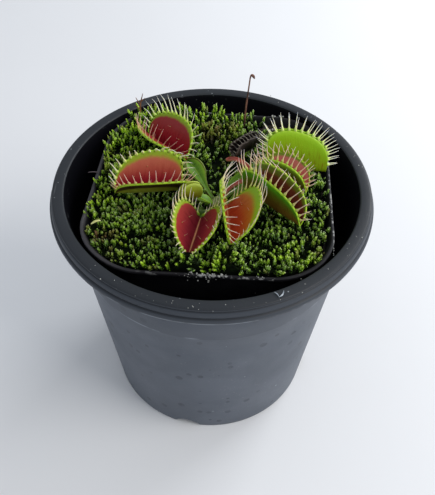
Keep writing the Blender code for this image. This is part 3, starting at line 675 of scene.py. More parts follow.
# %% [markdown]
# Thin plastic never stays straight. The rim gets a slight ripple, and the left side bulges, most of all a
# little in front of its middle. Both fade out towards the pot's floor. Proportional editing could push the
# side out by hand, but what lies in the pot has to follow, so the bulge is a function that they share.

# %% Ripple and bulge
LEFT_BOW = 2.5 * MM                # how far the left side bulges at the rim
BOW_MIDDLE, BOW_HALF = -14 * MM, 42 * MM
RIPPLE, RIM_WAVE = 0.006, 0.35 * MM


def side_bow(x, y):
    """Shift along X of a point of the pot's own plan, where its left side bulges."""
    leftness = min(max((-x - 20 * MM) / (22 * MM), 0.0), 1.0)
    return -LEFT_BOW * leftness ** 2 * max(1 - ((y - BOW_MIDDLE) / BOW_HALF) ** 2, 0.0) ** 1.5


places = coordinates(square_pot)
high = np.clip(places[:, 2] / SQUARE_RIM, 0, 1) ** 3
ripple = np.sin(places[:, 0] * 95 + 0.6) * np.cos(places[:, 1] * 80)
places[:, :2] *= (1 + RIPPLE * high * ripple)[:, None]
places[:, 2] += RIM_WAVE * high * np.sin(places[:, 0] * 70 + places[:, 1] * 55)
places[:, 0] += high * [side_bow(x, y) for x, y, _ in places]
set_coordinates(square_pot, places)
square_pot.rotation_euler.z = SQUARE_TURN
square_pot.location = SQUARE_CENTRE
set_in_place(square_pot)
bpy.ops.object.shade_smooth_by_angle(angle=SMOOTH_LIMIT)
square_pot.data.materials.append(black_plastic)
hand_over(square_pot, "black_plastic", "square_pot")

# %% [markdown]
# ## Peat
#
# The peat only shows in the bare corner at the back right and in gaps of the moss, but it carries the
# rest. A cube would miss the pot's round corners. So a flat grid is pressed from its square plan into the
# rounded one, and the moss uses the same functions again.

# %% Plan of the pot


def to_world(x, y):
    """Turn and shift a point of the square pot's own plan."""
    cosine, sine = math.cos(SQUARE_TURN), math.sin(SQUARE_TURN)
    return x * cosine - y * sine + SQUARE_CENTRE.x, x * sine + y * cosine + SQUARE_CENTRE.y


def outline_reach(angle, half, corner):
    """Distance from the middle to the rounded square's outline, in a direction."""
    cosine, sine = abs(math.cos(angle)), abs(math.sin(angle))
    reach = half / max(cosine, sine)
    inner = half - corner
    if reach * cosine > inner and reach * sine > inner:
        along = inner * (cosine + sine)
        reach = along + math.sqrt(max(along ** 2 - 2 * inner ** 2 + corner ** 2, 0.0))
    return reach


def ground_grid(name, half, corner, cells):
    """A grid that fills the rounded square, in world places."""
    bpy.ops.object.select_all(action="DESELECT")
    bpy.ops.mesh.primitive_grid_add(x_subdivisions=cells, y_subdivisions=cells, size=2 * half)
    grid = bpy.context.object
    grid.name = name
    places = coordinates(grid)
    for row in places:
        angle = math.atan2(row[1], row[0])
        square = half / max(abs(math.cos(angle)), abs(math.sin(angle)))
        fit = outline_reach(angle, half, corner) / square
        edge = math.hypot(row[0], row[1]) / square
        row[:2] *= 1 + (fit - 1) * edge ** 2
        row[0] += side_bow(row[0], row[1])
        row[:2] = to_world(row[0], row[1])
    set_coordinates(grid, places)
    return grid

corner_reach = outline_reach(math.radians(45), SQUARE_HALF, SQUARE_CORNER)
print("the plan's corners reach", round(corner_reach / MM, 1), "mm from the middle")

# %% [markdown]
# The grid is roughened with noise, and its edge is extruded down and drawn in, as the pot narrows. Its
# colour is dark and mottled, with pale grit.

# %% Block of peat
SOIL_TOP, SOIL_BOTTOM = 103.2 * MM, 6.8 * MM
PEAT_HALF, PEAT_FOOT, PEAT_CORNER = 42.0 * MM, 30.4 * MM, 19.6 * MM


def close_below(obj, bottom, taper=1.0):
    """Extrude the open edge of a sheet down to a flat underside, drawn in by a taper."""
    pick(obj)
    start_editing()
    bpy.ops.mesh.select_mode(type="VERT")
    bpy.ops.mesh.select_all(action="DESELECT")
    bpy.ops.mesh.select_non_manifold()
    bpy.ops.mesh.extrude_region_move(TRANSFORM_OT_translate={"value": (0, 0, -1)})
    bpy.ops.mesh.edge_face_add()
    bpy.ops.object.mode_set(mode="OBJECT")
    places = coordinates(obj)
    low = places[:, 2] < -0.5
    centre = np.array(SQUARE_CENTRE)[:2]
    places[low, :2] = (places[low, :2] - centre) * taper + centre
    places[low, 2] = bottom
    set_coordinates(obj, places)
    start_editing()
    finish_editing()


peat = ground_grid("peat_block", PEAT_HALF, PEAT_CORNER, 90)
places = coordinates(peat)
for row in places:
    row[2] = SOIL_TOP - 0.4 * MM + 0.9 * MM * noise.fractal(Vector(row) * 320, 0.6, 2.1, 4)
set_coordinates(peat, places)
close_below(peat, SOIL_BOTTOM, PEAT_FOOT / PEAT_HALF)

peat_material, tree, shader, place = new_material("peat", Roughness=0.95)
earth = mottled(tree, place, 420.0, (0.006, 0.005, 0.004), (0.045, 0.032, 0.022))
grit = speckled(tree, place, 700.0, 0.36, 0.09)
tree.links.new(blend_colours(tree, grit, earth, (0.30, 0.27, 0.22, 1)), shader.inputs["Base Color"])
grainy(tree, shader, place, 900.0, 0.8, 0.0012)
peat.data.materials.append(peat_material)
hand_over(peat, "peat", "soil")

# %% [markdown]
# ## The traps
#
# A flytrap's leaf is a flat, winged stalk that ends in a trap: two lobes on a hinge, each fringed with
# stiff teeth. Every trap here has its own size, direction and gape, so one set of rules shapes them all.
# The rules say where a point of a lobe lies, from its share of the hinge's length and its reach from hinge
# to margin. Sculpting would give one trap; a rule gives seven that differ as the real ones do.

# %% The leaves
Leaf = namedtuple("Leaf", "root_angle root_height wing start heading slope lean length width "
                          "angle_in angle_out left_teeth right_teeth")
Teeth = namedtuple("Teeth", "angle flare fan length thickness blush")
# root: angle round the crown and height; wing: half the stalk's width; start, heading, slope, lean: the
# hinge; angles: each lobe's angle from upright at hinge and margin. A margin's teeth stand at an angle
# from upright, which flares by so much at the tip's end, fan out along the hinge, and have a length, a
# thickness and a share of pink.
LEAVES = {
    "leaf_a": Leaf(118, 105.9, 3.9, (-10.2, 10.5, 110.0), 131, -7, -10, 24.8, 15.4, 17, 48,
                   Teeth(-34, 0, 72, 6.6, 0.52, 0.85), Teeth(11, 0, 80, 8.0, 0.72, 0.0)),
    "leaf_b": Leaf(172, 105.7, 2.6, (-12.4, -5.0, 109.4), 194, 8, -6, 23.8, 16.2, 20, 40,
                   Teeth(6, 0, 40, 6.6, 0.70, 0.7), Teeth(-42, 68, 36, 7.6, 0.90, 0.1)),
    "leaf_c": Leaf(243, 105.8, 3.6, (-3.8, -19.4, 109.0), 258, -3, -3, 17.4, 13.2, 32, 43,
                   Teeth(4, 0, 62, 5.2, 0.70, 0.4), Teeth(5, 0, 62, 6.2, 0.70, 0.3)),
    "leaf_d": Leaf(298, 106.8, 1.0, (5.4, -14.6, 111.0), 275, 0, -18, 18.8, 16.2, 29, 24,
                   Teeth(-12, 0, 24, 9.6, 0.60, 0.3), Teeth(-16, -14, 62, 9.0, 0.62, 0.3)),
    "leaf_e": Leaf(341, 105.8, 1.4, (13.2, -5.3, 110.6), 315, 1, -11, 26.0, 13.9, 24, 13,
                   Teeth(-40, 0, 50, 6.4, 0.60, 0.4), Teeth(-4, 0, 53, 8.8, 0.74, 0.5)),
    "leaf_f": Leaf(16, 105.9, 1.6, (19.2, 1.3, 109.3), 334, 5, -23, 17.4, 13.0, 36, 18,
                   Teeth(-46, 0, 50, 5.6, 0.60, 0.3), Teeth(-10, 0, 56, 7.0, 0.70, 0.6)),
    "leaf_g": Leaf(74, 105.7, 2.2, (20.8, 9.8, 110.1), 356, -5, -15, 22.9, 16.0, 9, -5,
                   Teeth(12, 0, 78, 6.4, 0.72, 0.0), Teeth(10, 0, 75, 6.4, 0.76, 0.0)),
    "bud_leaf": Leaf(266, 107.2, 2.8, (-4.5, -12.4, 112.9), 192, 14, 20, 7.5, 6.1, 50, -38, None, None),
    "withered_leaf": Leaf(42, 107.3, 1.0, (8.2, 13.6, 109.4), 42, 3, 0, 14.6, 7.2, 46, -24,
                          Teeth(-60, 0, 16, 2.2, 0.60, 0.0), Teeth(-70, 0, 16, 2.2, 0.60, 0.0)),
}
STALK_BENDS = {
    "bud_leaf": [(0.8, -12.3, 109.2), (-1.2, -12.7, 111.4)],
    "leaf_e": [(7.0, -7.4, 106.3), (10.2, -4.6, 108.4)],
    "leaf_f": [(6.0, -4.1, 106.1), (10.8, -0.2, 106.9), (15.4, 1.9, 108.3)],
    "leaf_g": [(4.6, -1.4, 105.9), (9.0, 5.0, 106.2), (15.2, 9.5, 107.6)],
    "withered_leaf": [(7.5, -2.7, 109.7), (13.0, 0.6, 110.9), (13.4, 5.4, 111.9), (9.0, 9.0, 112.6),
                      (5.6, 11.0, 110.4)],
}
print("leaves:", ", ".join(LEAVES))

# %% [markdown]
# Across, a lobe is an arc from the hinge to its margin. Along the hinge it swells and narrows again, and
# its root end is drawn back into an ear. The hinge itself sags a little. `lobe_point` puts these together,
# and `even_shares` cuts a margin into equal lengths, because the teeth stand evenly along it.

# %% Shape of a lobe
EAR, HINGE_SAG = 0.28, 0.03        # as shares of the hinge's length
FULLNESS = 0.7                     # the lower, the rounder a lobe's outline


def trap_axes(leaf):
    """Directions along the hinge, to its left and out of its mouth."""
    slope, lean = math.radians(leaf.slope), math.radians(leaf.lean)
    along = polar(math.cos(slope), leaf.heading) + Vector((0.0, 0.0, math.sin(slope)))
    level = polar(1.0, leaf.heading + 90)
    upright = along.cross(level)
    return (along, level * math.cos(lean) + upright * math.sin(lean),
            upright * math.cos(lean) - level * math.sin(lean))


def section_offset(reach, width, angle_in, angle_out):
    """Sideways and upward offset at a reach along a lobe's curved section."""
    start = math.radians(angle_in)
    curl = math.radians(angle_out - angle_in) / width
    angle = start + curl * reach
    return (math.cos(start) - math.cos(angle)) / curl, (math.sin(angle) - math.sin(start)) / curl


def lobe_point(leaf, side, share, reach):
    """A point of a lobe's inner face."""
    along, left, mouth = trap_axes(leaf)
    length, width = leaf.length * MM, leaf.width * MM
    swell = math.sin(math.pi * share)
    forward = length * (0.5 - 0.5 * math.cos(math.pi * share)) - length * EAR * swell * (1 - share) * reach
    sideways, rise = section_offset(width * swell ** FULLNESS * reach, width, leaf.angle_in, leaf.angle_out)
    inner = min(max(forward / length, 0.0), 1.0)
    rise -= HINGE_SAG * length * 4 * inner * (1 - inner)
    return Vector(leaf.start) * MM + along * forward + left * (side * sideways) + mouth * rise


def even_shares(leaf, count):
    """Shares of the hinge at which a lobe's margin is cut into equal lengths."""
    samples = np.linspace(0.02, 0.99, 260)
    points = np.array([lobe_point(leaf, 1, share, 1.0) for share in samples])
    lengths = np.concatenate([[0.0], np.cumsum(np.linalg.norm(np.diff(points, axis=0), axis=1))])
    return np.interp(np.linspace(0.0, lengths[-1], count), lengths, samples)


margin_middle = lobe_point(LEAVES["leaf_a"], 1, 0.5, 1.0)
print("middle of a margin of leaf_a:", [round(value / MM, 1) for value in margin_middle], "mm")

# %% [markdown]
# ### Flesh
#
# A trap's inner face is red, turns towards its blush colour away from the hinge, which on leaf_b is a
# painted sheen, and turns green at the margin through a rusty band; the outer face is green.
# The trap's own UV map says how far a point is along the hinge (U) and from hinge to margin (V), so the
# bands follow the lobe whatever its pose. Fine veins run across it, and the red face is dotted with glands.

# %% Bands of colour on a lobe
BANDS = ("hinge", "face", "blush", "band", "margin", "vein")

lobe_bands, given, result = new_group(
    "lobe_bands",
    [("Vector", VECTOR, None), ("UV", VECTOR, None), ("Start", FLOAT, 0.8), ("Soft", FLOAT, 0.1)]
    + [(band.title(), COLOUR, None) for band in BANDS],
    [("Color", COLOUR), ("Height", FLOAT)])
tree, inputs = lobe_bands, given.outputs
hinge_share, reach, _ = add_node(tree, "ShaderNodeSeparateXYZ", {0: inputs["UV"]}).outputs
swell = maths(tree, "POWER", maths(tree, "SINE", maths(tree, "MULTIPLY", hinge_share, math.pi)), 0.45)
inward = maths(tree, "MULTIPLY", maths(tree, "SUBTRACT", 1.0, reach), swell)
wobble = maths(tree, "SUBTRACT", soft_noise(tree, inputs["Vector"], 700.0, 2.0), 0.5)
evened = maths(tree, "ADD", maths(tree, "SUBTRACT", 1.0, inward), maths(tree, "MULTIPLY", wobble, 0.08))
cloud = soft_noise(tree, inputs["Vector"], 150.0, 3.0)
spread = maths(tree, "ADD", maths(tree, "MULTIPLY", cloud, 0.7), 0.45)
# towards the margin the face turns to its blush, which on leaf_b is a painted sheen
blush_and_sheen = maths(tree, "MULTIPLY", mask_ramp(tree, reach, 0.25, 0.82), spread, True)
face = blend_colours(tree, blush_and_sheen, inputs["Face"], inputs["Blush"])
streaks = add_node(tree, "ShaderNodeMapping", {"Vector": inputs["UV"], "Scale": (34.0, 2.2, 1.0)})
veins = soft_noise(tree, streaks.outputs[0], 1.0, 2.0)
fading = maths(tree, "MULTIPLY", mask_ramp(tree, reach, 0.85, 0.30), 0.75)
vein = maths(tree, "MULTIPLY", mask_ramp(tree, veins, 0.50, 0.68), fading)
face = blend_colours(tree, vein, face, inputs["Vein"], "MULTIPLY")
face = blend_colours(tree, mask_ramp(tree, reach, 0.060, 0.020), face, inputs["Hinge"])
band_end = maths(tree, "ADD", inputs["Start"], inputs["Soft"])
face = blend_colours(tree, mask_ramp(tree, evened, inputs["Start"], band_end), face, inputs["Band"])
colour = blend_colours(tree, mask_ramp(tree, evened, 0.92, 0.99), face, inputs["Margin"])
lobe_bands.links.new(colour, result.inputs["Color"])
glands = add_node(tree, "ShaderNodeTexVoronoi", {"Vector": inputs["Vector"], "Scale": 2400.0})
relief = maths(tree, "ADD", glands.outputs["Distance"], maths(tree, "MULTIPLY", veins, 1.5))
lobe_bands.links.new(relief, result.inputs["Height"])
print("lobe bands:", len(tree.nodes), "nodes")

# %% [markdown]
# No two traps have the same colours, so one table holds them all, for each inner and each outer face: the
# hinge, the face and its blush, the band before the margin, the margin, a tint for the veins, and where
# the band starts and how softly.

# %% Finish of a leaf
Flesh = namedtuple("Flesh", (*BANDS, "start", "soft"), defaults=((0.5, 0.3, 0.3), 0.80, 0.10))


def flesh(name, look):
    """A leaf's finish, its colours running from hinge to margin."""
    material, tree, shader, place = new_material(name, Roughness=0.42, IOR=1.42, Specular_IOR_Level=0.26,
                                                 Coat_Weight=0.05, Coat_Roughness=0.35)
    uv = add_node(tree, "ShaderNodeUVMap", uv_map="leaf").outputs[0]
    wires = {"Vector": place, "UV": uv, "Start": look.start, "Soft": look.soft}
    for band in BANDS:
        wires[band.title()] = (*getattr(look, band), 1.0)
    bands = use_group(tree, lobe_bands, **wires)
    tree.links.new(bands.outputs["Color"], shader.inputs["Base Color"])
    bump(tree, shader, bands.outputs["Height"], 0.2, 0.00025)
    return material


MARGIN_GREEN = (0.34, 0.54, 0.025)
BROWN_VEIN = (0.70, 0.30, 0.30)
LOOKS = {                          # the inner face and the outer face of each trap
    "leaf_a": (Flesh((0.30, 0.06, 0.04), (0.366, 0.018, 0.030), (0.300, 0.028, 0.025), (0.260, 0.400, 0.012),
                     MARGIN_GREEN, start=0.82, soft=0.09),
               Flesh((0.20, 0.28, 0.02), (0.160, 0.300, 0.015), (0.200, 0.370, 0.020), (0.22, 0.42, 0.02),
                     MARGIN_GREEN, BROWN_VEIN)),
    # leaf_b: the pinkish-tan blush of the inner face is a painted sheen
    "leaf_b": (Flesh((0.28, 0.06, 0.03), (0.250, 0.010, 0.020), (0.470, 0.125, 0.065), (0.240, 0.330, 0.010),
                     MARGIN_GREEN, (0.75, 0.45, 0.45), 0.76, 0.14),
               # leaf_b's outer face: the dark red-brown band below the margin is partly its own red and
               # partly painted shade
               Flesh((0.34, 0.36, 0.03), (0.300, 0.310, 0.025), (0.200, 0.200, 0.020), (0.045, 0.009, 0.007),
                     MARGIN_GREEN, (0.9, 0.8, 0.6), 0.42, 0.12)),
    "leaf_c": (Flesh((0.62, 0.27, 0.12), (0.220, 0.015, 0.026), (0.330, 0.030, 0.026), (0.280, 0.380, 0.015),
                     MARGIN_GREEN, start=0.83, soft=0.06),
               Flesh((0.16, 0.30, 0.02), (0.130, 0.290, 0.015), (0.180, 0.350, 0.020), (0.20, 0.40, 0.02),
                     MARGIN_GREEN, BROWN_VEIN)),
    "leaf_d": (Flesh((0.54, 0.18, 0.08), (0.420, 0.060, 0.018), (0.450, 0.180, 0.012), (0.260, 0.460, 0.012),
                     (0.26, 0.48, 0.02), (0.8, 0.5, 0.5), 0.68, 0.20),
               Flesh((0.20, 0.34, 0.02), (0.200, 0.360, 0.015), (0.240, 0.420, 0.020), (0.26, 0.46, 0.03),
                     MARGIN_GREEN, BROWN_VEIN)),
    "leaf_e": (Flesh((0.14, 0.03, 0.02), (0.120, 0.012, 0.012), (0.150, 0.040, 0.014), (0.130, 0.180, 0.012),
                     MARGIN_GREEN, start=0.74, soft=0.14),
               Flesh((0.10, 0.03, 0.008), (0.190, 0.090, 0.012), (0.100, 0.210, 0.010), (0.09, 0.31, 0.012),
                     MARGIN_GREEN, BROWN_VEIN, 0.70, 0.2)),
    "leaf_f": (Flesh((0.40, 0.16, 0.06), (0.360, 0.040, 0.045), (0.500, 0.150, 0.110), (0.180, 0.250, 0.015),
                     MARGIN_GREEN, start=0.84, soft=0.07),
               Flesh((0.12, 0.08, 0.02), (0.160, 0.110, 0.015), (0.170, 0.190, 0.015), (0.20, 0.32, 0.02),
                     MARGIN_GREEN, BROWN_VEIN)),
    "leaf_g": (Flesh((0.30, 0.20, 0.04), (0.260, 0.160, 0.030), (0.280, 0.260, 0.020), (0.24, 0.46, 0.02),
                     MARGIN_GREEN),
               Flesh((0.30, 0.18, 0.012), (0.270, 0.400, 0.007), (0.270, 0.520, 0.008), (0.33, 0.60, 0.02),
                     (0.34, 0.58, 0.03), (0.85, 0.32, 0.30), 0.78, 0.2)),
    "bud_leaf": (Flesh((0.36, 0.36, 0.04), (0.36, 0.38, 0.04), (0.40, 0.44, 0.05), (0.42, 0.50, 0.06),
                       (0.44, 0.54, 0.07)),
                 Flesh((0.36, 0.16, 0.02), (0.30, 0.27, 0.015), (0.31, 0.38, 0.02), (0.38, 0.48, 0.05),
                       (0.46, 0.56, 0.08), (0.80, 0.60, 0.50))),
    "withered_leaf": (Flesh((0.02, 0.012, 0.01), (0.008, 0.005, 0.005), (0.012, 0.008, 0.007),
                            (0.02, 0.014, 0.011), (0.06, 0.045, 0.035)),
                      Flesh((0.01, 0.006, 0.005), (0.005, 0.004, 0.004), (0.012, 0.008, 0.008),
                            (0.02, 0.014, 0.012), (0.07, 0.050, 0.040), start=0.6, soft=0.3)),
}
print("looks of traps:", len(LOOKS))

# %% [markdown]
# A tooth lets some light through, is green at its foot and cream above it, and may be flushed with pink.
# Two ramps along its height give the cream and the pink tooth, and its blush blends them.

# %% Finish of a tooth
tooth_material, tree, shader, place = new_material(
    "tooth", Roughness=0.38, IOR=1.42, Subsurface_Weight=0.35, Subsurface_Radius=(1.0, 0.8, 0.5),
    Subsurface_Scale=0.0006)
uv = add_node(tree, "ShaderNodeUVMap", uv_map="leaf").outputs[0]
blush, height, _ = add_node(tree, "ShaderNodeSeparateXYZ", {0: uv}).outputs
cream = ramp(tree, height, [(0.0, (0.34, 0.56, 0.04)), (0.10, (0.66, 0.82, 0.20)), (0.30, (0.86, 0.84, 0.55)),
                            (1.0, (0.95, 0.90, 0.78))])
pink = ramp(tree, height, [(0.0, (0.40, 0.52, 0.07)), (0.12, (0.58, 0.36, 0.14)), (0.40, (0.60, 0.19, 0.15)),
                           (1.0, (0.78, 0.42, 0.36))])
tree.links.new(blend_colours(tree, blush, cream, pink), shader.inputs["Base Color"])
print("tooth finish made")

# %% [markdown]
# ### One tooth, modelled once
#
# A tooth is a stiff tapering bristle on a broad foot. It starts as a small circle that is extruded five
# times, first widened into the foot and then narrowed, and closed at its tip. It is about one unit tall.

# %% A tooth
TOOTH_RINGS = [(0.66, 0.0), (0.78, 0.06), (0.44, 0.15), (0.26, 0.31), (0.20, 0.63), (0.04, 1.03)]
TOOTH_SIDES = 6

tooth = first_ring("tooth_pattern", TOOTH_RINGS, TOOTH_SIDES)
grow_rings(TOOTH_RINGS)
bpy.ops.mesh.edge_face_add()
finish_editing()
TOOTH_VERTS = coordinates(tooth)
TOOTH_FACES = [list(face.vertices) for face in tooth.data.polygons]
bpy.data.objects.remove(tooth)
print("tooth:", len(TOOTH_FACES), "faces")

# %% [markdown]
# A leaf carries some forty teeth and hairs. Duplicated objects would each need their own turn and bend, so
# the vertices are copied instead: each copy is stretched from its base to its tip, bowed on the way, and
# carries its blush and its height in its UV map.

# %% Copies of the tooth


def add_teeth(name, teeth, material):
    """One mesh of many teeth, each given as base, tip, bow, thickness and blush.

    The teeth's UV map holds the blush as U and the share of the height as V.
    """
    verts, faces, marks = [], [], []
    for base, tip, bow, thickness, blush in teeth:
        axis = tip - base
        length = axis.length
        axis.normalize()
        side = axis.orthogonal().normalized()
        across = axis.cross(side)
        first = len(verts)
        for x, y, level in TOOTH_VERTS:
            middle = base + axis * (length * level) + bow * (4 * level * (1 - level))
            verts.append(middle + side * (x * thickness) + across * (y * thickness))
            marks.append((blush, level))
        faces += [[first + k for k in face] for face in TOOTH_FACES]
    mesh = bpy.data.meshes.new(name)
    mesh.from_pydata(verts, [], faces)
    uv = mesh.uv_layers.new(name="leaf")
    for loop in mesh.loops:
        uv.data[loop.index].uv = marks[loop.vertex_index]
    mesh.shade_smooth()
    return new_piece(name, mesh, material)


print("tooth maker ready")

# %% [markdown]
# ### Lobes and stalks
#
# Each trap is a grid: one side of it becomes the left lobe, the other the right, and its middle line the
# hinge. Its vertices are moved to the rule's places, Solidify gives the leaf its thickness with a finish of
# its own for the outer face and the rim, and a subdivision rounds it all.

# %% Sheets formed by a rule


def formed_sheet(name, columns, rows, place_of):
    """A grid whose vertices go to place_of(u, s), with u from 0 to 1 and s from -1 to 1."""
    bpy.ops.object.select_all(action="DESELECT")
    bpy.ops.mesh.primitive_grid_add(x_subdivisions=columns, y_subdivisions=rows, size=2.0)
    sheet = bpy.context.object
    sheet.name = name
    plan = coordinates(sheet)
    layer = sheet.data.uv_layers[0]
    layer.name = "leaf"
    for loop in sheet.data.loops:
        x, y, _ = plan[loop.vertex_index]
        layer.data[loop.index].uv = ((x + 1) / 2, abs(y))
    set_coordinates(sheet, np.array([place_of((x + 1) / 2, y) for x, y, _ in plan]))
    return sheet


def thicken(sheet, thickness, materials):
    """Give a sheet a wall on its outer side, and round its edges."""
    for material in materials:
        sheet.data.materials.append(material)
    apply_modifier(sheet, "SOLIDIFY", thickness=thickness, offset=-1.0, material_offset=1,
                   material_offset_rim=2)
    apply_modifier(sheet, "SUBSURF", levels=1, render_levels=1)
    sheet.data.shade_smooth()


print("sheet helpers ready")

# %% [markdown]
# A margin isn't a smooth line: it is drawn in a little between two teeth. So a trap's grid has three
# columns to a tooth. Noise can be added to the places, for a leaf that has dried and wrinkled.

# %% Trap maker
TEETH_PER_LOBE, COLUMNS_PER_TOOTH, LOBE_ROWS = 18, 3, 9
SCALLOP = 0.014                    # one and a half times this share is drawn in between two teeth


def make_trap(name, leaf, materials, wrinkle=0.0, thickness=0.8):
    """Both lobes of a trap, in one sheet."""
    count = TEETH_PER_LOBE * COLUMNS_PER_TOOTH + 1
    shares = even_shares(leaf, count)

    def place_of(u, s):
        column = round(u * (count - 1))
        wave = math.cos(math.tau * (column - 1) / COLUMNS_PER_TOOTH)
        reach = abs(s) * (1 - SCALLOP * (1 - wave) * (abs(s) > 0.95))
        point = lobe_point(leaf, 1 if s > 0 else -1, shares[column], reach)
        return point + noise.noise_vector(point * 420) * wrinkle

    trap = formed_sheet(name + "_trap", count - 1, 2 * LOBE_ROWS, place_of)
    thicken(trap, thickness * MM, materials)
    return trap


print("rows and columns of a trap:", 2 * LOBE_ROWS, TEETH_PER_LOBE * COLUMNS_PER_TOOTH)

# %% [markdown]
# The teeth are longest in the middle of a margin and fan out along the hinge. No two are alike, so each
# gets a small seeded change of direction, length and thickness. Three short hairs stand on each inner
# face, where a real trap feels its prey.

# %% Teeth and trigger hairs
HAIR_SPOTS = ((0.38, 0.46), (0.55, 0.62), (0.66, 0.42))     # share of the hinge and reach on the lobe
HAIR_LENGTH, HAIR_THICKNESS = 1.4, 0.24    # mm


def margin_teeth(leaf, rng, count=TEETH_PER_LOBE):
    """Base, tip, bow, thickness and blush of each tooth on both margins."""
    along, left, mouth = trap_axes(leaf)
    shares = even_shares(leaf, count * COLUMNS_PER_TOOTH + 1)[1::COLUMNS_PER_TOOTH]
    teeth = []
    for side, comb in ((1, leaf.left_teeth), (-1, leaf.right_teeth)):
        for k, share in enumerate(shares):
            outer = 2 * share - 1
            lean = math.radians(comb.angle + comb.flare * max(outer, 0.0) ** 2 + rng.uniform(-6, 6))
            spread = math.radians(comb.fan * outer + rng.uniform(-5, 5))
            sweep = ((left * (side * math.sin(lean)) + mouth * math.cos(lean)) * math.cos(spread)
                     + along * math.sin(spread))
            reach = comb.length * MM * (0.42 + 0.58 * math.sin(math.pi * (k + 0.7) / (count + 0.4)) ** 0.6)
            base = lobe_point(leaf, side, share, 0.97)
            bow = left * (side * 0.06 * reach * rng.uniform(0.2, 1.6))
            teeth.append((base, base + sweep * reach * rng.uniform(0.90, 1.06), bow,
                          comb.thickness * rng.uniform(0.88, 1.08) * MM, comb.blush))
    return teeth


def trigger_hairs(leaf):
    """Three short bristles on the inner face of each lobe."""
    along, left, mouth = trap_axes(leaf)
    hairs = []
    for side in (1, -1):
        for share, reach in HAIR_SPOTS:
            base = lobe_point(leaf, side, share, reach)
            tip = base + (mouth * 0.9 - left * (side * 0.75)) * HAIR_LENGTH * MM
            hairs.append((base, tip, Vector((0, 0, 0)), HAIR_THICKNESS * MM, 0.9))
    return hairs


print("teeth of a leaf:", 2 * TEETH_PER_LOBE, "and hairs:", 2 * len(HAIR_SPOTS))

# %% [markdown]
# A stalk runs from the crown to its trap. Most need only a Bezier arc between the two; a few are led round
# their neighbours through more points, by a curve that passes through each. The winged stalk is a sheet
# along that path, narrow at both ends, folded in a V and a little ruffled.

# %% Stalk maker
CROWN, CROWN_RADIUS = Vector((1.5, -8.0, 0.0)) * MM, 2.8 * MM
STALK_STEPS = 27
STALK_ROOT_HALF, STALK_THICKNESS = 0.75 * MM, 0.7 * MM
STALK_FOLD = 70                    # degrees from upright


def catmull(knots, index, part):
    """A point of the smooth curve through the knots, a part of the way past one of them."""
    before, start, end = knots[max(index - 1, 0)], knots[index], knots[index + 1]
    after = knots[min(index + 2, len(knots) - 1)]
    out, into = (end - before) / 2, (after - start) / 2
    return (start * (2 * part ** 3 - 3 * part ** 2 + 1) + out * (part ** 3 - 2 * part ** 2 + part)
            + end * (3 * part ** 2 - 2 * part ** 3) + into * (part ** 3 - part ** 2))


def stalk_path(name, leaf, count):
    """Points from the crown to the trap, on a smooth curve."""
    along = trap_axes(leaf)[0]
    root = CROWN + polar(CROWN_RADIUS - 0.2 * MM, leaf.root_angle)
    root.z = leaf.root_height * MM
    neck = Vector(leaf.start) * MM + along * 0.6 * MM
    bends = [Vector(point) * MM for point in STALK_BENDS.get(name, [])]
    if not bends:
        pull = (neck - root).length * 0.4
        handles = (root, root + polar(pull, leaf.root_angle), neck - along * pull, neck)
        return list(geometry.interpolate_bezier(*handles, count))
    knots = [root] + bends + [neck, neck + along * 2 * MM]
    spans = len(knots) - 2
    steps = [spans * k / (count - 1) for k in range(count)]
    return [catmull(knots, min(int(step), spans - 1), step - min(int(step), spans - 1)) for step in steps]


def make_stalk(name, leaf, material):
    path = stalk_path(name, leaf, STALK_STEPS)
    mouth = trap_axes(leaf)[2]

    def place_of(u, s):
        k = round(u * (STALK_STEPS - 1))
        direction = (path[min(k + 1, STALK_STEPS - 1)] - path[max(k - 1, 0)]).normalized()
        upward = Vector((0, 0, 1)).lerp(mouth, u)
        left = upward.cross(direction).normalized()
        upward = direction.cross(left)
        spread = math.sin(math.pi * u ** 2.2) ** 1.3
        ruffle = 1 + 0.05 * math.sin(u * 17 + s * 1.3)
        width = STALK_ROOT_HALF + (leaf.wing * MM - STALK_ROOT_HALF) * spread * ruffle
        fold = STALK_FOLD + (leaf.angle_in - STALK_FOLD) * u ** 6
        sideways, rise = section_offset(width * abs(s), width, fold, fold + 14)
        return path[k] + left * (math.copysign(1, s) * sideways) + upward * rise

    stalk = formed_sheet(name + "_stalk", STALK_STEPS - 1, 10, place_of)
    thicken(stalk, STALK_THICKNESS, [material] * 3)
    return stalk


print("stalks led round others:", ", ".join(STALK_BENDS))

# %% [markdown]
# ### The seven open leaves
#
# Each leaf is joined from its stalk, trap, teeth and trigger hairs into one piece, since a leaf grows as
# one. The stalks are leaf green and turn brownish near their edges.

# %% Seven leaves
STALK_LOOK = Flesh((0.16, 0.26, 0.02), (0.080, 0.190, 0.009), (0.170, 0.310, 0.012), (0.080, 0.070, 0.012),
                   (0.20, 0.30, 0.03), (0.40, 0.40, 0.3), 0.78, 0.1)
TRAP_SLOTS = {"leaf_d": "orange_trap", "leaf_g": "green_trap"}     # the others are red


def trap_finishes(name, rim):
    """Finishes of a trap's inner face, its outer face and its rim."""
    inner, outer = LOOKS[name]
    return [flesh(name + "_inside", inner), flesh(name + "_outside", outer),
            flesh(name + "_rim", Flesh(*[rim] * 5))]


rng = random.Random(11)
stalk_green = flesh("stalk_green", STALK_LOOK)
for letter in "abcdefg":
    name = "leaf_" + letter
    leaf = LEAVES[name]
    pieces = [make_stalk(name, leaf, stalk_green), make_trap(name, leaf, trap_finishes(name, MARGIN_GREEN)),
              add_teeth(name + "_teeth", margin_teeth(leaf, rng) + trigger_hairs(leaf), tooth_material)]
    hand_over(join(name + "_grown", pieces), TRAP_SLOTS.get(name, "red_trap"), name)

# %% [markdown]
# ### Bud
#
# The bud is a trap too young to open, plump and closed. The same rule makes it: its lobes lean out at the
# hinge and in at the margin, where they meet, and it has no teeth yet.

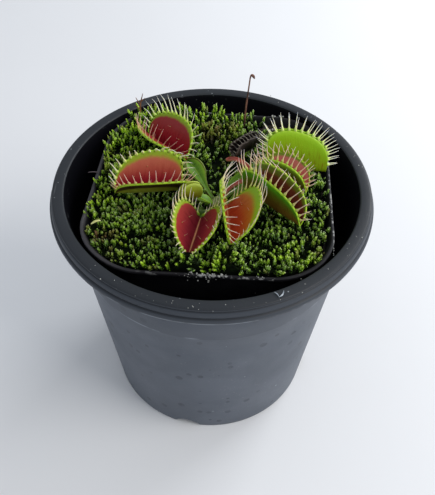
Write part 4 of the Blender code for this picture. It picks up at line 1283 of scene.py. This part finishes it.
# %% Bud
YOUNG_THICKNESS = 0.7              # mm

leaf = LEAVES["bud_leaf"]
bud_green = flesh("bud_stalk_green", Flesh((0.20, 0.34, 0.02), (0.15, 0.34, 0.010), (0.20, 0.42, 0.012),
                                           (0.26, 0.46, 0.015), (0.34, 0.54, 0.03)))
finishes = trap_finishes("bud_leaf", LOOKS["bud_leaf"][1].margin)
pieces = [make_trap("bud_leaf", leaf, finishes, thickness=YOUNG_THICKNESS),
          make_stalk("bud_leaf", leaf, bud_green)]
hand_over(join("bud_leaf_grown", pieces), "green_trap", "bud_leaf")

# %% [markdown]
# ### Withered leaf
#
# One trap is dead, black and shrunken: the same rule with noise added to its places. Its dry teeth lie
# folded across the mouth as a pale comb, and its stalk has turned reddish.

# %% Withered leaf
WRINKLE, DRY_TEETH = 0.55 * MM, 15

leaf = LEAVES["withered_leaf"]
salmon = flesh("salmon_stalk", Flesh((0.34, 0.08, 0.05), (0.28, 0.05, 0.035), (0.36, 0.09, 0.06),
                                     (0.32, 0.08, 0.05), (0.40, 0.14, 0.08)))
dry_tooth = plain_finish("dry_tooth", 500.0, (0.03, 0.024, 0.020), (0.30, 0.26, 0.20), Roughness=0.7)
finishes = trap_finishes("withered_leaf", LOOKS["withered_leaf"][1].margin)
pieces = [make_trap("withered_leaf", leaf, finishes, WRINKLE, YOUNG_THICKNESS),
          add_teeth("withered_leaf_teeth", margin_teeth(leaf, rng, DRY_TEETH), dry_tooth),
          make_stalk("withered_leaf", leaf, salmon)]
hand_over(join("withered_leaf_grown", pieces), "withered", "withered_leaf")

# %% [markdown]
# ## Crown
#
# All stalks spring from a short, pale stub that stands in the peat. It grows from a circle like the pots,
# and its top is waved into five blunt points, the first of new leaves.

# %% Crown
CROWN_RINGS = [(2.2, 96.4), (2.8, 98.0), (2.8, 104.6), (2.7, 105.8), (2.3, 106.8), (1.6, 107.5), (0.7, 108.0)]
NEW_LEAVES = 5

rings = in_metres(CROWN_RINGS)
crown = first_ring("crown_stub", rings, 40, fill_type="NGON")
grow_rings(rings)
finish_editing()
places = coordinates(crown)
turn = np.arctan2(places[:, 1], places[:, 0])
lift = np.clip((places[:, 2] - 104.6 * MM) / (3.4 * MM), 0, 1)
places[:, :2] *= (1 + 0.10 * np.cos(NEW_LEAVES * turn + 3 * lift))[:, None]
places[:, 2] += 0.5 * MM * lift * np.cos(NEW_LEAVES * turn)
places += np.array(CROWN)
set_coordinates(crown, places)
apply_modifier(crown, "SUBSURF", levels=1, render_levels=1)
crown.data.shade_smooth()
pale_green = plain_finish("crown", 300.0, (0.10, 0.16, 0.03), (0.34, 0.38, 0.10), Roughness=0.5)
crown.data.materials.append(pale_green)
hand_over(crown, "crown", "crown")

# %% [markdown]
# ## Dried stalk
#
# At the back stands the thin dry stalk of an old flower, its tip bent over into a dark head. A curve with a
# round section is the natural tool for a stem: a few points, a radius at each, and then a mesh.

# %% Dried stalk
DRY_POINTS = [((12.5, 38.8, 100.2), 0.40), ((12.6, 39.0, 108.0), 0.40), ((12.9, 40.0, 114.0), 0.36),
              ((13.4, 41.0, 119.0), 0.33), ((13.8, 41.8, 123.5), 0.30), ((14.1, 42.4, 126.7), 0.30),
              ((14.5, 42.5, 127.5), 0.42), ((15.1, 42.6, 127.2), 0.62), ((15.6, 42.6, 126.3), 0.50),
              ((15.8, 42.6, 125.7), 0.18)]


def add_stem(name, points, material):
    """A tapering stem through (place, radius) points in mm."""
    curve = bpy.data.curves.new(name, "CURVE")
    curve.dimensions = "3D"
    curve.bevel_depth = MM
    curve.bevel_resolution = 3
    curve.use_fill_caps = True
    spline = curve.splines.new("NURBS")
    spline.points.add(len(points) - 1)
    for point, (place, radius) in zip(spline.points, points):
        point.co = (*(value * MM for value in place), 1.0)
        point.radius = radius
    spline.use_endpoint_u = True
    spline.order_u = 3
    spline.resolution_u = 5
    stem = new_piece(name, curve, material)
    pick(stem)
    bpy.ops.object.convert(target="MESH")
    stem = bpy.context.object
    stem.data.shade_smooth()
    return stem


dry_brown = plain_finish("dried_stalk", 260.0, (0.05, 0.018, 0.012), (0.22, 0.09, 0.06),
                         (2200.0, 0.5, 0.0004), Roughness=0.7)
hand_over(add_stem("dried_stalk", DRY_POINTS, dry_brown), "dried_stalk", "dead_stalk")

# %% [markdown]
# ## Moss
#
# Moss is thousands of upright shoots, each an egg-shaped bud wrapped in pointed leaves. Hair particles
# would be the quick way, but they don't survive an export. So a few shoots are modelled from spheres and
# cones, and their meshes are copied by the thousand with array arithmetic: each copy gets its own place,
# height, lean and tone. A shoot has under a hundred faces, because it is repeated so often.

# %% Patterns of a shoot
GOLDEN_ANGLE = math.radians(137.5)
CORE_MIDDLE, CORE_REACH = 0.50, 0.48   # the core's middle and half its height, as shares of the shoot's


def paint_light_layer(obj, low, high):
    """Give a part's lower vertices one value of painted light and its upper ones another."""
    layer = obj.data.attributes.new("painted_light", "FLOAT", "POINT")
    for vert, value in zip(obj.data.vertices, layer.data):
        value.value = high if vert.co.z > 0 else low


def shoot_pattern(height, girth, leaf_count, open_low, open_high, seed):
    """A leafy shoot in mm: vertices, triangles and each vertex's painted light, from painted shade at the
    root to a painted highlight at the leaf tip.
    """
    rng = random.Random(seed)
    core = girth * 0.36
    bpy.ops.object.select_all(action="DESELECT")
    bpy.ops.mesh.primitive_uv_sphere_add(segments=6, ring_count=4, location=(0, 0, height * CORE_MIDDLE),
                                         scale=(core, core, height * CORE_REACH))
    parts = [bpy.context.object]
    # painted light on the core: painted shade below, a painted highlight above
    paint_light_layer(parts[0], 0.10, 0.80)
    for k in range(leaf_count):
        share = k / (leaf_count - 1)
        turn = k * GOLDEN_ANGLE
        open_angle = math.radians(open_low + (open_high - open_low) * share + rng.uniform(-5, 5))
        length = girth * (0.78 - 0.22 * share) * rng.uniform(0.85, 1.15)
        level = 0.20 + 0.68 * share
        foot = core * 0.8 * math.sqrt(max(1 - ((level - CORE_MIDDLE) / CORE_REACH) ** 2, 0.0))
        middle = foot + 0.5 * length * math.sin(open_angle)
        bpy.ops.mesh.primitive_cone_add(
            vertices=3, radius1=girth * 0.27, radius2=0.0, depth=length,
            location=(middle * math.cos(turn), middle * math.sin(turn),
                      height * level + 0.5 * length * math.cos(open_angle)),
            rotation=(0, open_angle, turn), scale=(0.5, 1, 1))
        parts.append(bpy.context.object)
        paint_light_layer(parts[-1], 0.15 + 0.55 * share, 0.55 + 0.45 * share)
    shoot = join("shoot_pattern", parts)
    apply_modifier(shoot, "TRIANGULATE")
    verts = coordinates(shoot)
    faces = np.array([list(face.vertices) for face in shoot.data.polygons])
    painted_light = np.empty(len(verts))
    shoot.data.attributes["painted_light"].data.foreach_get("value", painted_light)
    bpy.data.objects.remove(shoot)
    return verts, faces, painted_light


BUD_SHOOTS = [shoot_pattern(3.4, 1.60, 12, 30, -4, seed) for seed in (1, 2, 3)]
SLIM_SHOOTS = [shoot_pattern(4.8, 1.25, 13, 26, -4, seed) for seed in (7, 8, 9)]
TALL_SHOOTS = [shoot_pattern(5.9, 1.18, 14, 42, 0, seed) for seed in (4, 5, 6)]
print("faces per shoot:", [len(pattern[1]) for pattern in BUD_SHOOTS + SLIM_SHOOTS + TALL_SHOOTS])

# %% [markdown]
# The carpet isn't even. It is low in front, tall and yellow-green at the back left, dark and thin between
# the crown and the back, and gone in the bare corner, round the crown and round the dried stalk. Mounds
# lift it to the tips of two traps and under a third. A few brown patches show where it has dried, and a
# few lush ones are bright. It could be sculpted, but each of these is a soft spot or slope in the plan, so
# small functions of x and y describe them all.

# %% Lie of the moss
TALL_MOSS, FRONT_RISE, CARPET_DEPTH = 3.0 * MM, 1.5 * MM, 1.7 * MM
BROWN_PATCHES = [((-1, 28), 6.5, 0.8), ((6, 31), 5.0, 0.6), ((-39, -27), 4.5, 0.9), ((-33, 13), 4.0, 0.5),
                 ((40, -31), 6.0, 0.6), ((-34, -36), 5.0, 0.4)]    # place, radius in mm, strength
MOUNDS = [((-8.0, -38.4), 5.6, 5.4), ((7.2, -36.2), 6.2, 7.2), ((-19.5, -17.5), 5.0, 2.2),
          ((-27.5, -19.5), 6.0, 2.6), ((-35.0, -17.5), 5.0, 2.0)]   # place, radius and rise in mm
LUSH_PATCHES = [((32.0, -33.0), 9.0, 0.55), ((-21.0, -38.0), 6.0, 0.35), ((4.0, -39.0), 7.0, 0.35),
                ((-42.0, -8.0), 8.0, 0.4)]
DARK_BAND = (3.0, 10.0, 8.0, 17.0)   # centre x, y and half widths, mm
BARE_CENTRE, BARE_RADIUS = Vector((46.0, 46.0, 0.0)) * MM, 26.0 * MM
STALK_FOOT = Vector((12.5, 38.8, 0.0)) * MM
GAPS = [(BARE_CENTRE, BARE_RADIUS, BARE_RADIUS + 2.5 * MM), (CROWN, 4.2 * MM, 6.5 * MM),
        (STALK_FOOT, 0.9 * MM, 1.6 * MM)]      # middle, and where the moss begins and is whole


def smooth_step(value, low, high):
    part = min(max((value - low) / (high - low), 0.0), 1.0)
    return part * part * (3 - 2 * part)


def tallness(x, y):
    """1 where the moss is tallest, at the back left, 0 where it is low."""
    back = smooth_step(y, 12 * MM, 42 * MM) * smooth_step(-x, -26 * MM, 8 * MM)
    left = smooth_step(-x, 24 * MM, 44 * MM) * smooth_step(y, -22 * MM, 6 * MM) * 0.45
    return max(back, left)


def nearness(x, y, spots):
    """The strongest of some round spots at a place; each fades from its middle to its edge."""
    strongest = 0.0
    for (centre_x, centre_y), radius, strength in spots:
        away = math.hypot(x / MM - centre_x, y / MM - centre_y)
        strongest = max(strongest, strength * (1 - smooth_step(away, radius * 0.35, radius * 1.15)))
    return strongest


def carpet_height(x, y):
    roll = 0.35 * MM * math.sin(x * 310 + 1.3) * math.sin(y * 260 + 0.4)
    front = FRONT_RISE * smooth_step(-y, 35 * MM, 42 * MM)
    rise = TALL_MOSS * tallness(x, y) + nearness(x, y, MOUNDS) * MM + front
    return SOIL_TOP + CARPET_DEPTH + roll + rise


def cover(x, y):
    """1 on the carpet, 0 where no moss grows."""
    share = 1.0
    for middle, begins, whole in GAPS:
        share *= smooth_step(math.hypot(x - middle.x, y - middle.y), begins, whole)
    return share


def dark_band(x, y):
    centre_x, centre_y, half_x, half_y = DARK_BAND
    away = math.hypot((x / MM - centre_x) / half_x, (y / MM - centre_y) / half_y)
    return 1 - smooth_step(away, 0.6, 1.15)


print("carpet heights at the front and the back left:",
      [round(carpet_height(x * MM, y * MM) / MM, 1) for x, y in ((0, -30), (-30, 35))], "mm")

# %% [markdown]
# Between the shoots one looks into shade. A bed painted nearly black stands for it: a sheet a little lower
# than the tips, closed below like the peat, and it stops light and sight between the thin shoots.

# %% Bed of the moss
bed = ground_grid("shaded_moss_bed", 41.2 * MM, 18.8 * MM, 84)
places = coordinates(bed)
for row in places:
    x, y = row[0], row[1]
    top = carpet_height(x, y) - 1.1 * MM - 1.4 * MM * dark_band(x, y)
    ground = SOIL_TOP + 0.35 * MM
    row[2] = ground + (max(top, ground) - ground) * cover(x, y) - 1.6 * MM * (1 - cover(x, y))
    row[2] += 0.5 * MM * noise.noise(Vector((x, y, 0)) * 900) * cover(x, y)
set_coordinates(bed, places)
close_below(bed, SOIL_TOP - 3.0 * MM)

# painted shade: the bed is nearly black
bed.data.materials.append(plain_finish("shaded_moss_bed", 500.0, (0.001, 0.002, 0.001), (0.006, 0.012, 0.002),
                                       Roughness=0.95, Specular_IOR_Level=0.08))
hand_over(bed, "moss", "moss")

# %% [markdown]
# A shoot's colour runs from nearly black at its root, which is painted shade, to a bright tip that is partly
# its paler young growth and partly a painted highlight. Each vertex of the moss carries three numbers in a
# colour attribute: its painted light, which rises with its height on the shoot, the shoot's own tone and how
# brown it is. The material turns them into greens.

# %% Moss material
moss_material, tree, shader, place = new_material("moss_shoots", Roughness=0.26, IOR=1.45)
marks = add_node(tree, "ShaderNodeAttribute", attribute_name="light_tone_brown", attribute_type="GEOMETRY")
level, tone, brown = add_node(tree, "ShaderNodeSeparateColor", {0: marks.outputs["Color"]}).outputs[:3]
# level is the painted light: the black low stops are painted shade at the roots, the pale top stops a painted
# highlight on the tips
deep_green = ramp(tree, level, [(0.0, (0.0005, 0.001, 0.0005)), (0.30, (0.002, 0.008, 0.001)),
                                (0.55, (0.052, 0.125, 0.008)), (0.80, (0.195, 0.340, 0.042)),
                                (1.0, (0.840, 0.920, 0.600))])
sunny_green = ramp(tree, level, [(0.0, (0.001, 0.003, 0.0005)), (0.30, (0.030, 0.070, 0.002)),
                                 (0.55, (0.200, 0.400, 0.008)), (0.80, (0.480, 0.720, 0.030)),
                                 (1.0, (0.900, 0.960, 0.420))])
dried = ramp(tree, level, [(0.0, (0.001, 0.001, 0.0005)), (0.5, (0.040, 0.022, 0.006)),
                           (1.0, (0.260, 0.140, 0.050))])
green = blend_colours(tree, tone, deep_green, sunny_green)
tree.links.new(blend_colours(tree, brown, green, dried), shader.inputs["Base Color"])
print("moss material made")

# %% [markdown]
# Where a leaf hangs over the moss, a ray sent up from the root finds it, and the shoot stays short enough
# to fit under it or is left out. So is one whose tip would run into the pot's wall, or reach far over it.

# %% Room for a shoot
LEAF_CLEARANCE, LEAST_ROOM = 0.5 * MM, 0.9 * MM
PROBES = ((0, 0), (0.6, 0), (-0.6, 0), (0, 0.6), (0, -0.6))     # mm round a root
WALL_BOUND, LIP_BOUND, OVERHANG, CORNER_INSET = 43.2, 43.9, 2.6, 22.6      # mm
UP = Vector((0, 0, 1))

leaf_points, leaf_faces = [], []
for obj in bpy.context.scene.objects:
    if obj.name.endswith("_grown"):
        shift = len(leaf_points)
        leaf_points += [vert.co.copy() for vert in obj.data.vertices]
        leaf_faces += [[shift + k for k in face.vertices] for face in obj.data.polygons]
leaf_tree = BVHTree.FromPolygons(leaf_points, leaf_faces)


def room_above(x, y, low):
    """Clear height over a root, looking up in five places round it."""
    best = 1.0
    for dx, dy in PROBES:
        hit = leaf_tree.ray_cast(Vector((x + dx * MM, y + dy * MM, low)), UP, 0.05)
        if hit[0] is not None:
            best = min(best, hit[0].z - low - LEAF_CLEARANCE)
    return best


def edge_share(x, y, half, corner):
    """How far out a world point lies in a rounded square: 0 in its middle, 1 on its edge."""
    dx, dy = x - SQUARE_CENTRE.x, y - SQUARE_CENTRE.y
    cosine, sine = math.cos(SQUARE_TURN), math.sin(SQUARE_TURN)
    plan_x, plan_y = dx * cosine + dy * sine, -dx * sine + dy * cosine
    plan_x -= side_bow(plan_x, plan_y)
    distance = math.hypot(plan_x, plan_y)
    return distance / outline_reach(math.atan2(plan_y, plan_x), half, corner)


def meets_wall(tip, tall):
    """Whether a tip runs into the pot's wall, or reaches further over its lip than tall moss may."""
    bound = WALL_BOUND * MM if tip.z < SQUARE_RIM + 0.4 * MM else (LIP_BOUND + OVERHANG * tall) * MM
    return edge_share(tip.x, tip.y, bound, bound - CORNER_INSET * MM) > 1


def kept_share(foot, turned, height, tall):
    """The share of its height that a shoot may keep, 0 where it has no room."""
    room = room_above(foot.x, foot.y, foot.z + 0.1 * MM)
    hit = leaf_tree.ray_cast(foot, turned @ UP, height + 0.4 * MM)[0]
    tip = foot + turned @ Vector((0, 0, height))
    if room < LEAST_ROOM or (hit is not None and room > height) or meets_wall(tip, tall):
        return 0.0
    return min(1.0, room / height)


print("faces that shoots keep clear of:", len(leaf_faces))

# %% [markdown]
# Neighbouring shoots look alike: they lean the same way, and are sunny, dark or dry together. So lean and
# tone come from smooth noise over the plan, with a smaller change for each shoot. At the edge they lean
# outwards, over the lip.

# %% Lean and tone of a shoot
OUTWARD_LEAN, DRIFT = 14, 26       # degrees


def shoot_lean(x, y, edge, tilt, heading):
    """A shoot's turns about X and Y, from its own tilt, a shared drift and its nearness to the edge."""
    outward = polar(smooth_step(edge, 0.9, 1.0) * OUTWARD_LEAN, math.degrees(math.atan2(y, x)))
    drift = noise.noise_vector(Vector((x, y, 11.0)) * 120) * DRIFT
    return (math.radians(tilt * math.cos(math.radians(heading)) - outward.y + drift.y),
            math.radians(tilt * math.sin(math.radians(heading)) + outward.x + drift.x))


def gap_chance(x, y, tall, thin, hilly):
    """How likely a shoot is missing from the carpet."""
    gappy = smooth_step(-noise.noise(Vector((x, y, 7.0)) * 260), 0.05, 0.45) * max(1 - hilly, 0.0)
    return max(0.45 * thin, (0.26 + 0.6 * tall) * gappy)


def shoot_tone(x, y, tall, thin, hue):
    """How sunny a shoot's green is."""
    patchy = smooth_step(noise.noise(Vector((x, y, 0.0)) * 110), -0.2, 0.5)
    sunlit = smooth_step(-x, 8 * MM, 34 * MM) * smooth_step(y, -20 * MM, 8 * MM)
    tone = 0.42 * tall + 0.35 * sunlit + 0.75 * hue * patchy + 0.42 * hue ** 3 - 0.3 * thin
    return tone + nearness(x, y, LUSH_PATCHES)


def shoot_brown(x, y, chance):
    """How dry a shoot is; about one in seventeen is brown by itself."""
    return nearness(x, y, BROWN_PATCHES) * (0.5 + 0.8 * chance) + (0.5 if chance < 0.06 else 0.0)


print("brown at the front left:", round(shoot_brown(-39 * MM, -27 * MM, 0.5), 2))

# %% [markdown]
# A root often carries two or three shoots, as moss branches near the ground. `stand_shoots` puts them side
# by side, each a little lower and a little different, and gives a matrix for every one that has room.

# %% Shoots on one root
Root = namedtuple("Root", "x y pattern size height sunk lean_x lean_y spin tone brown tall count")


def stand_shoots(root, rng):
    """(pattern, matrix, tone, brown) of each shoot on a root."""
    standing = []
    for k in range(root.count):
        sway = math.radians(k * rng.uniform(-22, 22))
        tone = root.tone + k * rng.uniform(-0.30, 0.30)
        foot = Vector((root.x, root.y, 0)) + polar(0.9 * MM * k, root.spin)
        foot.z = max(carpet_height(foot.x, foot.y) - root.sunk * MM, SOIL_TOP - 0.6 * MM) - 0.5 * MM * k
        turned = Matrix.Rotation(root.lean_y + sway, 4, "Y") @ Matrix.Rotation(root.lean_x - sway, 4, "X")
        kept = kept_share(foot, turned, root.height, root.tall)
        if kept:
            size = MM * root.size
            spun = Matrix.Rotation(math.radians(root.spin), 4, "Z")
            matrix = (Matrix.Translation(foot) @ turned @ spun
                      @ Matrix.Diagonal((size, size, size * kept, 1.0)))
            standing.append((root.pattern, matrix, min(max(tone, 0.0), 1.0), min(root.brown, 1.0)))
    return standing


print("a root is described by", len(Root._fields), "values")

# %% [markdown]
# The roots stand on a jittered triangular lattice. Pure chance would leave holes and clumps, and a plain
# lattice would show its rows. The carpet is kept as three pieces, front, middle and back.

# %% Plant the roots
SHOOT_SPACING, JITTER = 2.05 * MM, 0.6
ROW_STEP = 0.866                   # height of a triangle whose sides are 1
PLANTED_HALF, PLANTED_CORNER = 42.5 * MM, 19.9 * MM
REGION_EDGE = 14 * MM


def plant_shoots(rng):
    """The shoots of the whole carpet, by region."""
    regions = {"front": [], "middle": [], "back": []}
    reach = 2 * int(46 * MM / SHOOT_SPACING)
    for j in range(-reach, reach + 1):
        for i in range(-reach, reach + 1):
            x = (i + 0.5 * (j % 2)) * SHOOT_SPACING + rng.uniform(-JITTER, JITTER) * MM
            y = j * SHOOT_SPACING * ROW_STEP + rng.uniform(-JITTER, JITTER) * MM
            size, chance, hue = rng.uniform(0.64, 1.30), rng.random(), rng.random()
            tilt, heading, spin = rng.gauss(0, 17), rng.uniform(0, 360), rng.uniform(0, 360)
            edge = edge_share(x, y, PLANTED_HALF, PLANTED_CORNER)
            if edge > 1 or chance > cover(x, y) * 1.02:
                continue
            tall, thin, hilly = tallness(x, y), dark_band(x, y), nearness(x, y, MOUNDS)
            if rng.random() < gap_chance(x, y, tall, thin, hilly):
                continue
            kinds = TALL_SHOOTS if tall > rng.uniform(0.12, 0.4) else BUD_SHOOTS + SLIM_SHOOTS * 2
            pattern = rng.choice(kinds)
            stature = pattern[0][:, 2].max()
            sunk = 1.1 + 0.6 * tall + 1.2 * thin + rng.uniform(-0.5, 0.9)
            sunk += 0.35 * (stature - 3.4) * (1 - tall)
            height = stature * MM * size * (1 - 0.45 * thin)
            lean_x, lean_y = shoot_lean(x, y, edge, tilt * (1.3 + 0.3 * tall), heading)
            count = 3 if hilly > 0.4 else 2 if tall > 0.2 or chance < 0.5 else 1
            root = Root(x, y, pattern, size, height, sunk, lean_x, lean_y, spin,
                        shoot_tone(x, y, tall, thin, hue), shoot_brown(x, y, chance), tall, count)
            region = "back" if y > REGION_EDGE else "front" if y < -REGION_EDGE else "middle"
            regions[region] += stand_shoots(root, rng)
    return regions


carpet = plant_shoots(random.Random(23))
print("shoots:", {region: len(shoots) for region, shoots in carpet.items()})

# %% [markdown]
# Thousands of objects would be slow, so each region becomes one mesh. Its arrays of places, triangles and
# painted light, tone and brownness are stacked and handed to the mesh in one go.

# %% Meshes of the carpet


def moss_mesh(name, shoots):
    """One mesh of many shoots, with the growth attribute on its vertices."""
    verts, faces, light_tone_brown, first = [], [], [], 0
    for (points, triangles, level), matrix, tone, brown in shoots:
        turn = np.array(matrix)
        verts.append(points @ turn[:3, :3].T + turn[:3, 3])
        faces.append(triangles + first)
        light_tone_brown.append(np.column_stack([level, np.full(len(level), tone), np.full(len(level), brown),
                                       np.ones(len(level))]))
        first += len(points)
    verts, faces, light_tone_brown = np.vstack(verts), np.vstack(faces), np.vstack(light_tone_brown)
    mesh = bpy.data.meshes.new(name)
    mesh.vertices.add(len(verts))
    mesh.vertices.foreach_set("co", verts.astype(np.float32).ravel())
    mesh.loops.add(faces.size)
    mesh.loops.foreach_set("vertex_index", faces.astype(np.int32).ravel())
    mesh.polygons.add(len(faces))
    mesh.polygons.foreach_set("loop_start", np.arange(0, faces.size, 3, dtype=np.int32))
    mesh.update(calc_edges=True)
    layer = mesh.attributes.new("light_tone_brown", "FLOAT_COLOR", "POINT")
    layer.data.foreach_set("color", light_tone_brown.astype(np.float32).ravel())
    return new_piece(name, mesh, moss_material)


for region, shoots in carpet.items():
    hand_over(moss_mesh("moss_" + region, shoots), "moss", "moss")

# %% [markdown]
# ## Perlite grains
#
# What fell on a plant pot tells its story: white perlite grains lie on the rims and the bare peat. Each
# grain is an icosphere pushed out of round by noise, and all are joined into one piece.

# %% Perlite grains
GRAIN_SPOTS = [   # middle in the square pot's plan, spread along X, Y and Z, count, least and largest radius
    ((-1.0, -44.1, 106.6), (6.5, 0.6, 0.3), 20, 0.14, 0.36),
    ((-3.0, -44.7, 105.8), (4.5, 0.1, 0.5), 7, 0.14, 0.30),
    ((-1.5, -42.95, 102.4), (5.0, 0.05, 1.8), 14, 0.16, 0.34),
    ((14.0, -44.2, 106.6), (20.0, 0.3, 0.2), 14, 0.10, 0.26),
    ((27.0, 44.0, 106.6), (12.0, 0.4, 0.2), 14, 0.20, 0.50),
    ((30.0, 36.0, 104.2), (10.0, 7.0, 0.4), 30, 0.18, 0.50),
    ((44.1, -8.0, 106.6), (0.3, 27.0, 0.2), 26, 0.10, 0.24),
]
RIM_GRAINS, RIM_HEIGHT = 46, 108.35 * MM


def add_grain(place, radius, rng):
    bpy.ops.mesh.primitive_ico_sphere_add(subdivisions=2, radius=radius * MM, location=place)
    grain = bpy.context.object
    set_in_place(grain)
    places = coordinates(grain)
    middle = np.array(place)
    drift = Vector((rng.uniform(0, 50), 0, 0))
    for row in places:
        lump = noise.noise(Vector(row) * 1600 + drift)
        row[:] = middle + (row - middle) * (1 + 0.45 * lump)
    set_coordinates(grain, places)
    return grain


rng = random.Random(5)
grains = []
for middle, reach, count, smallest, largest in GRAIN_SPOTS:
    for _ in range(count):
        x, y, z = [(centre + rng.uniform(-1, 1) * spread) * MM for centre, spread in zip(middle, reach)]
        grains.append(add_grain((*to_world(x, y), z), rng.uniform(smallest, largest), rng))
for _ in range(RIM_GRAINS):
    radius = rng.uniform(56.6, 60.4) * MM
    on_rim = polar(radius, rng.choice((-80, -80, 20)) + rng.uniform(-55, 55), RIM_HEIGHT)
    grains.append(add_grain(on_rim, rng.uniform(0.08, 0.22), rng))
grains = join("perlite_grains", grains)
grains.data.materials.append(plain_finish("perlite", 900.0, (0.22, 0.22, 0.20), (0.62, 0.62, 0.58),
                                          (2600.0, 0.6, 0.0003), Roughness=0.8))
hand_over(grains, "peat")

# %% [markdown]
# ## Scraps
#
# A yellow leaf tip lies at the left, a pale fleck shaped like a V on the round pot's rim, and a scrap of
# twig over the square pot's left lip. The flat ones are small pointed sheets with a thickness, made by the
# same two helpers as the leaves, and the twig is a stem.

# %% Scraps
straw = plain_finish("litter", 600.0, (0.56, 0.56, 0.16), (0.86, 0.86, 0.42), Roughness=0.6)
pale_scrape = plain_finish("rim_fleck", 700.0, (0.20, 0.23, 0.27), (0.52, 0.56, 0.60), Roughness=0.5)
twig_brown = new_material("twig_brown", Roughness=0.7, Base_Color=(0.085, 0.062, 0.070, 1))[0]


def add_scrap(name, ends, bend, half_width, material):
    """A small pointed blade between two places in mm, bowed by a vector in mm."""
    first, last, bend = (Vector(values) * MM for values in (*ends, bend))
    side = (last - first).cross(Vector((0, 0, 1))).normalized()

    def place_of(u, s):
        width = half_width * MM * math.sin(math.pi * (0.08 + 0.84 * u)) ** 0.8
        return first.lerp(last, u) + bend * (4 * u * (1 - u)) + side * (s * width)

    scrap = formed_sheet(name, 10, 4, place_of)
    thicken(scrap, 0.25 * MM, [material] * 3)
    return scrap


scraps = [
    add_scrap("leaf_tip", ((-42.9, -22.6, 107.8), (-39.5, -21.4, 108.6)), (0.0, 0.2, 0.4), 0.55, straw),
    add_scrap("fleck_left", ((21.4, -52.2, 108.55), (22.9, -54.0, 108.55)), (0.2, 0.2, 0.0), 0.18,
              pale_scrape),
    add_scrap("fleck_right", ((22.9, -54.2, 108.55), (24.6, -51.4, 108.55)), (0.35, -0.35, 0.0), 0.26,
              pale_scrape),
    add_stem("twig", [((-44.4, 6.2, 106.6), 0.26), ((-46.2, 5.7, 107.6), 0.24), ((-47.8, 4.9, 107.6), 0.12)],
             twig_brown),
]
hand_over(join("scraps", scraps), "moss")

# %% [markdown]
# ## Sprout
#
# A red-brown seedling stands in the tall moss at the back left, forked like a twig. Its stem and its three
# side shoots are stems like the dried stalk, each thinner towards its tip.

# %% Sprout
SPROUT_STEMS = [
    [((-30.8, 39.8, 109.0), 0.34), ((-30.6, 40.2, 113.0), 0.30), ((-30.0, 40.6, 116.0), 0.24),
     ((-29.2, 40.9, 118.6), 0.12)],
    [((-30.5, 40.3, 113.0), 0.26), ((-31.4, 40.6, 114.8), 0.24), ((-32.2, 40.8, 116.6), 0.12)],
    [((-30.2, 40.5, 115.0), 0.22), ((-29.0, 40.4, 115.8), 0.20), ((-28.4, 40.3, 116.9), 0.10)],
    [((-30.7, 40.0, 111.6), 0.26), ((-31.9, 39.8, 112.6), 0.22), ((-32.6, 39.7, 113.8), 0.10)],
]
russet = plain_finish("sprout", 500.0, (0.09, 0.022, 0.010), (0.30, 0.12, 0.05), Roughness=0.6)
stems = [add_stem(f"sprout_{k}", points, russet) for k, points in enumerate(SPROUT_STEMS)]
hand_over(join("sprout", stems), "moss")

# %% [markdown]
# ## Finish
#
# The number of CAD nodes is printed.

# %% Finish
print("boxes of", len(frame["nodes"]), "CAD nodes and of the pieces that stand for them")
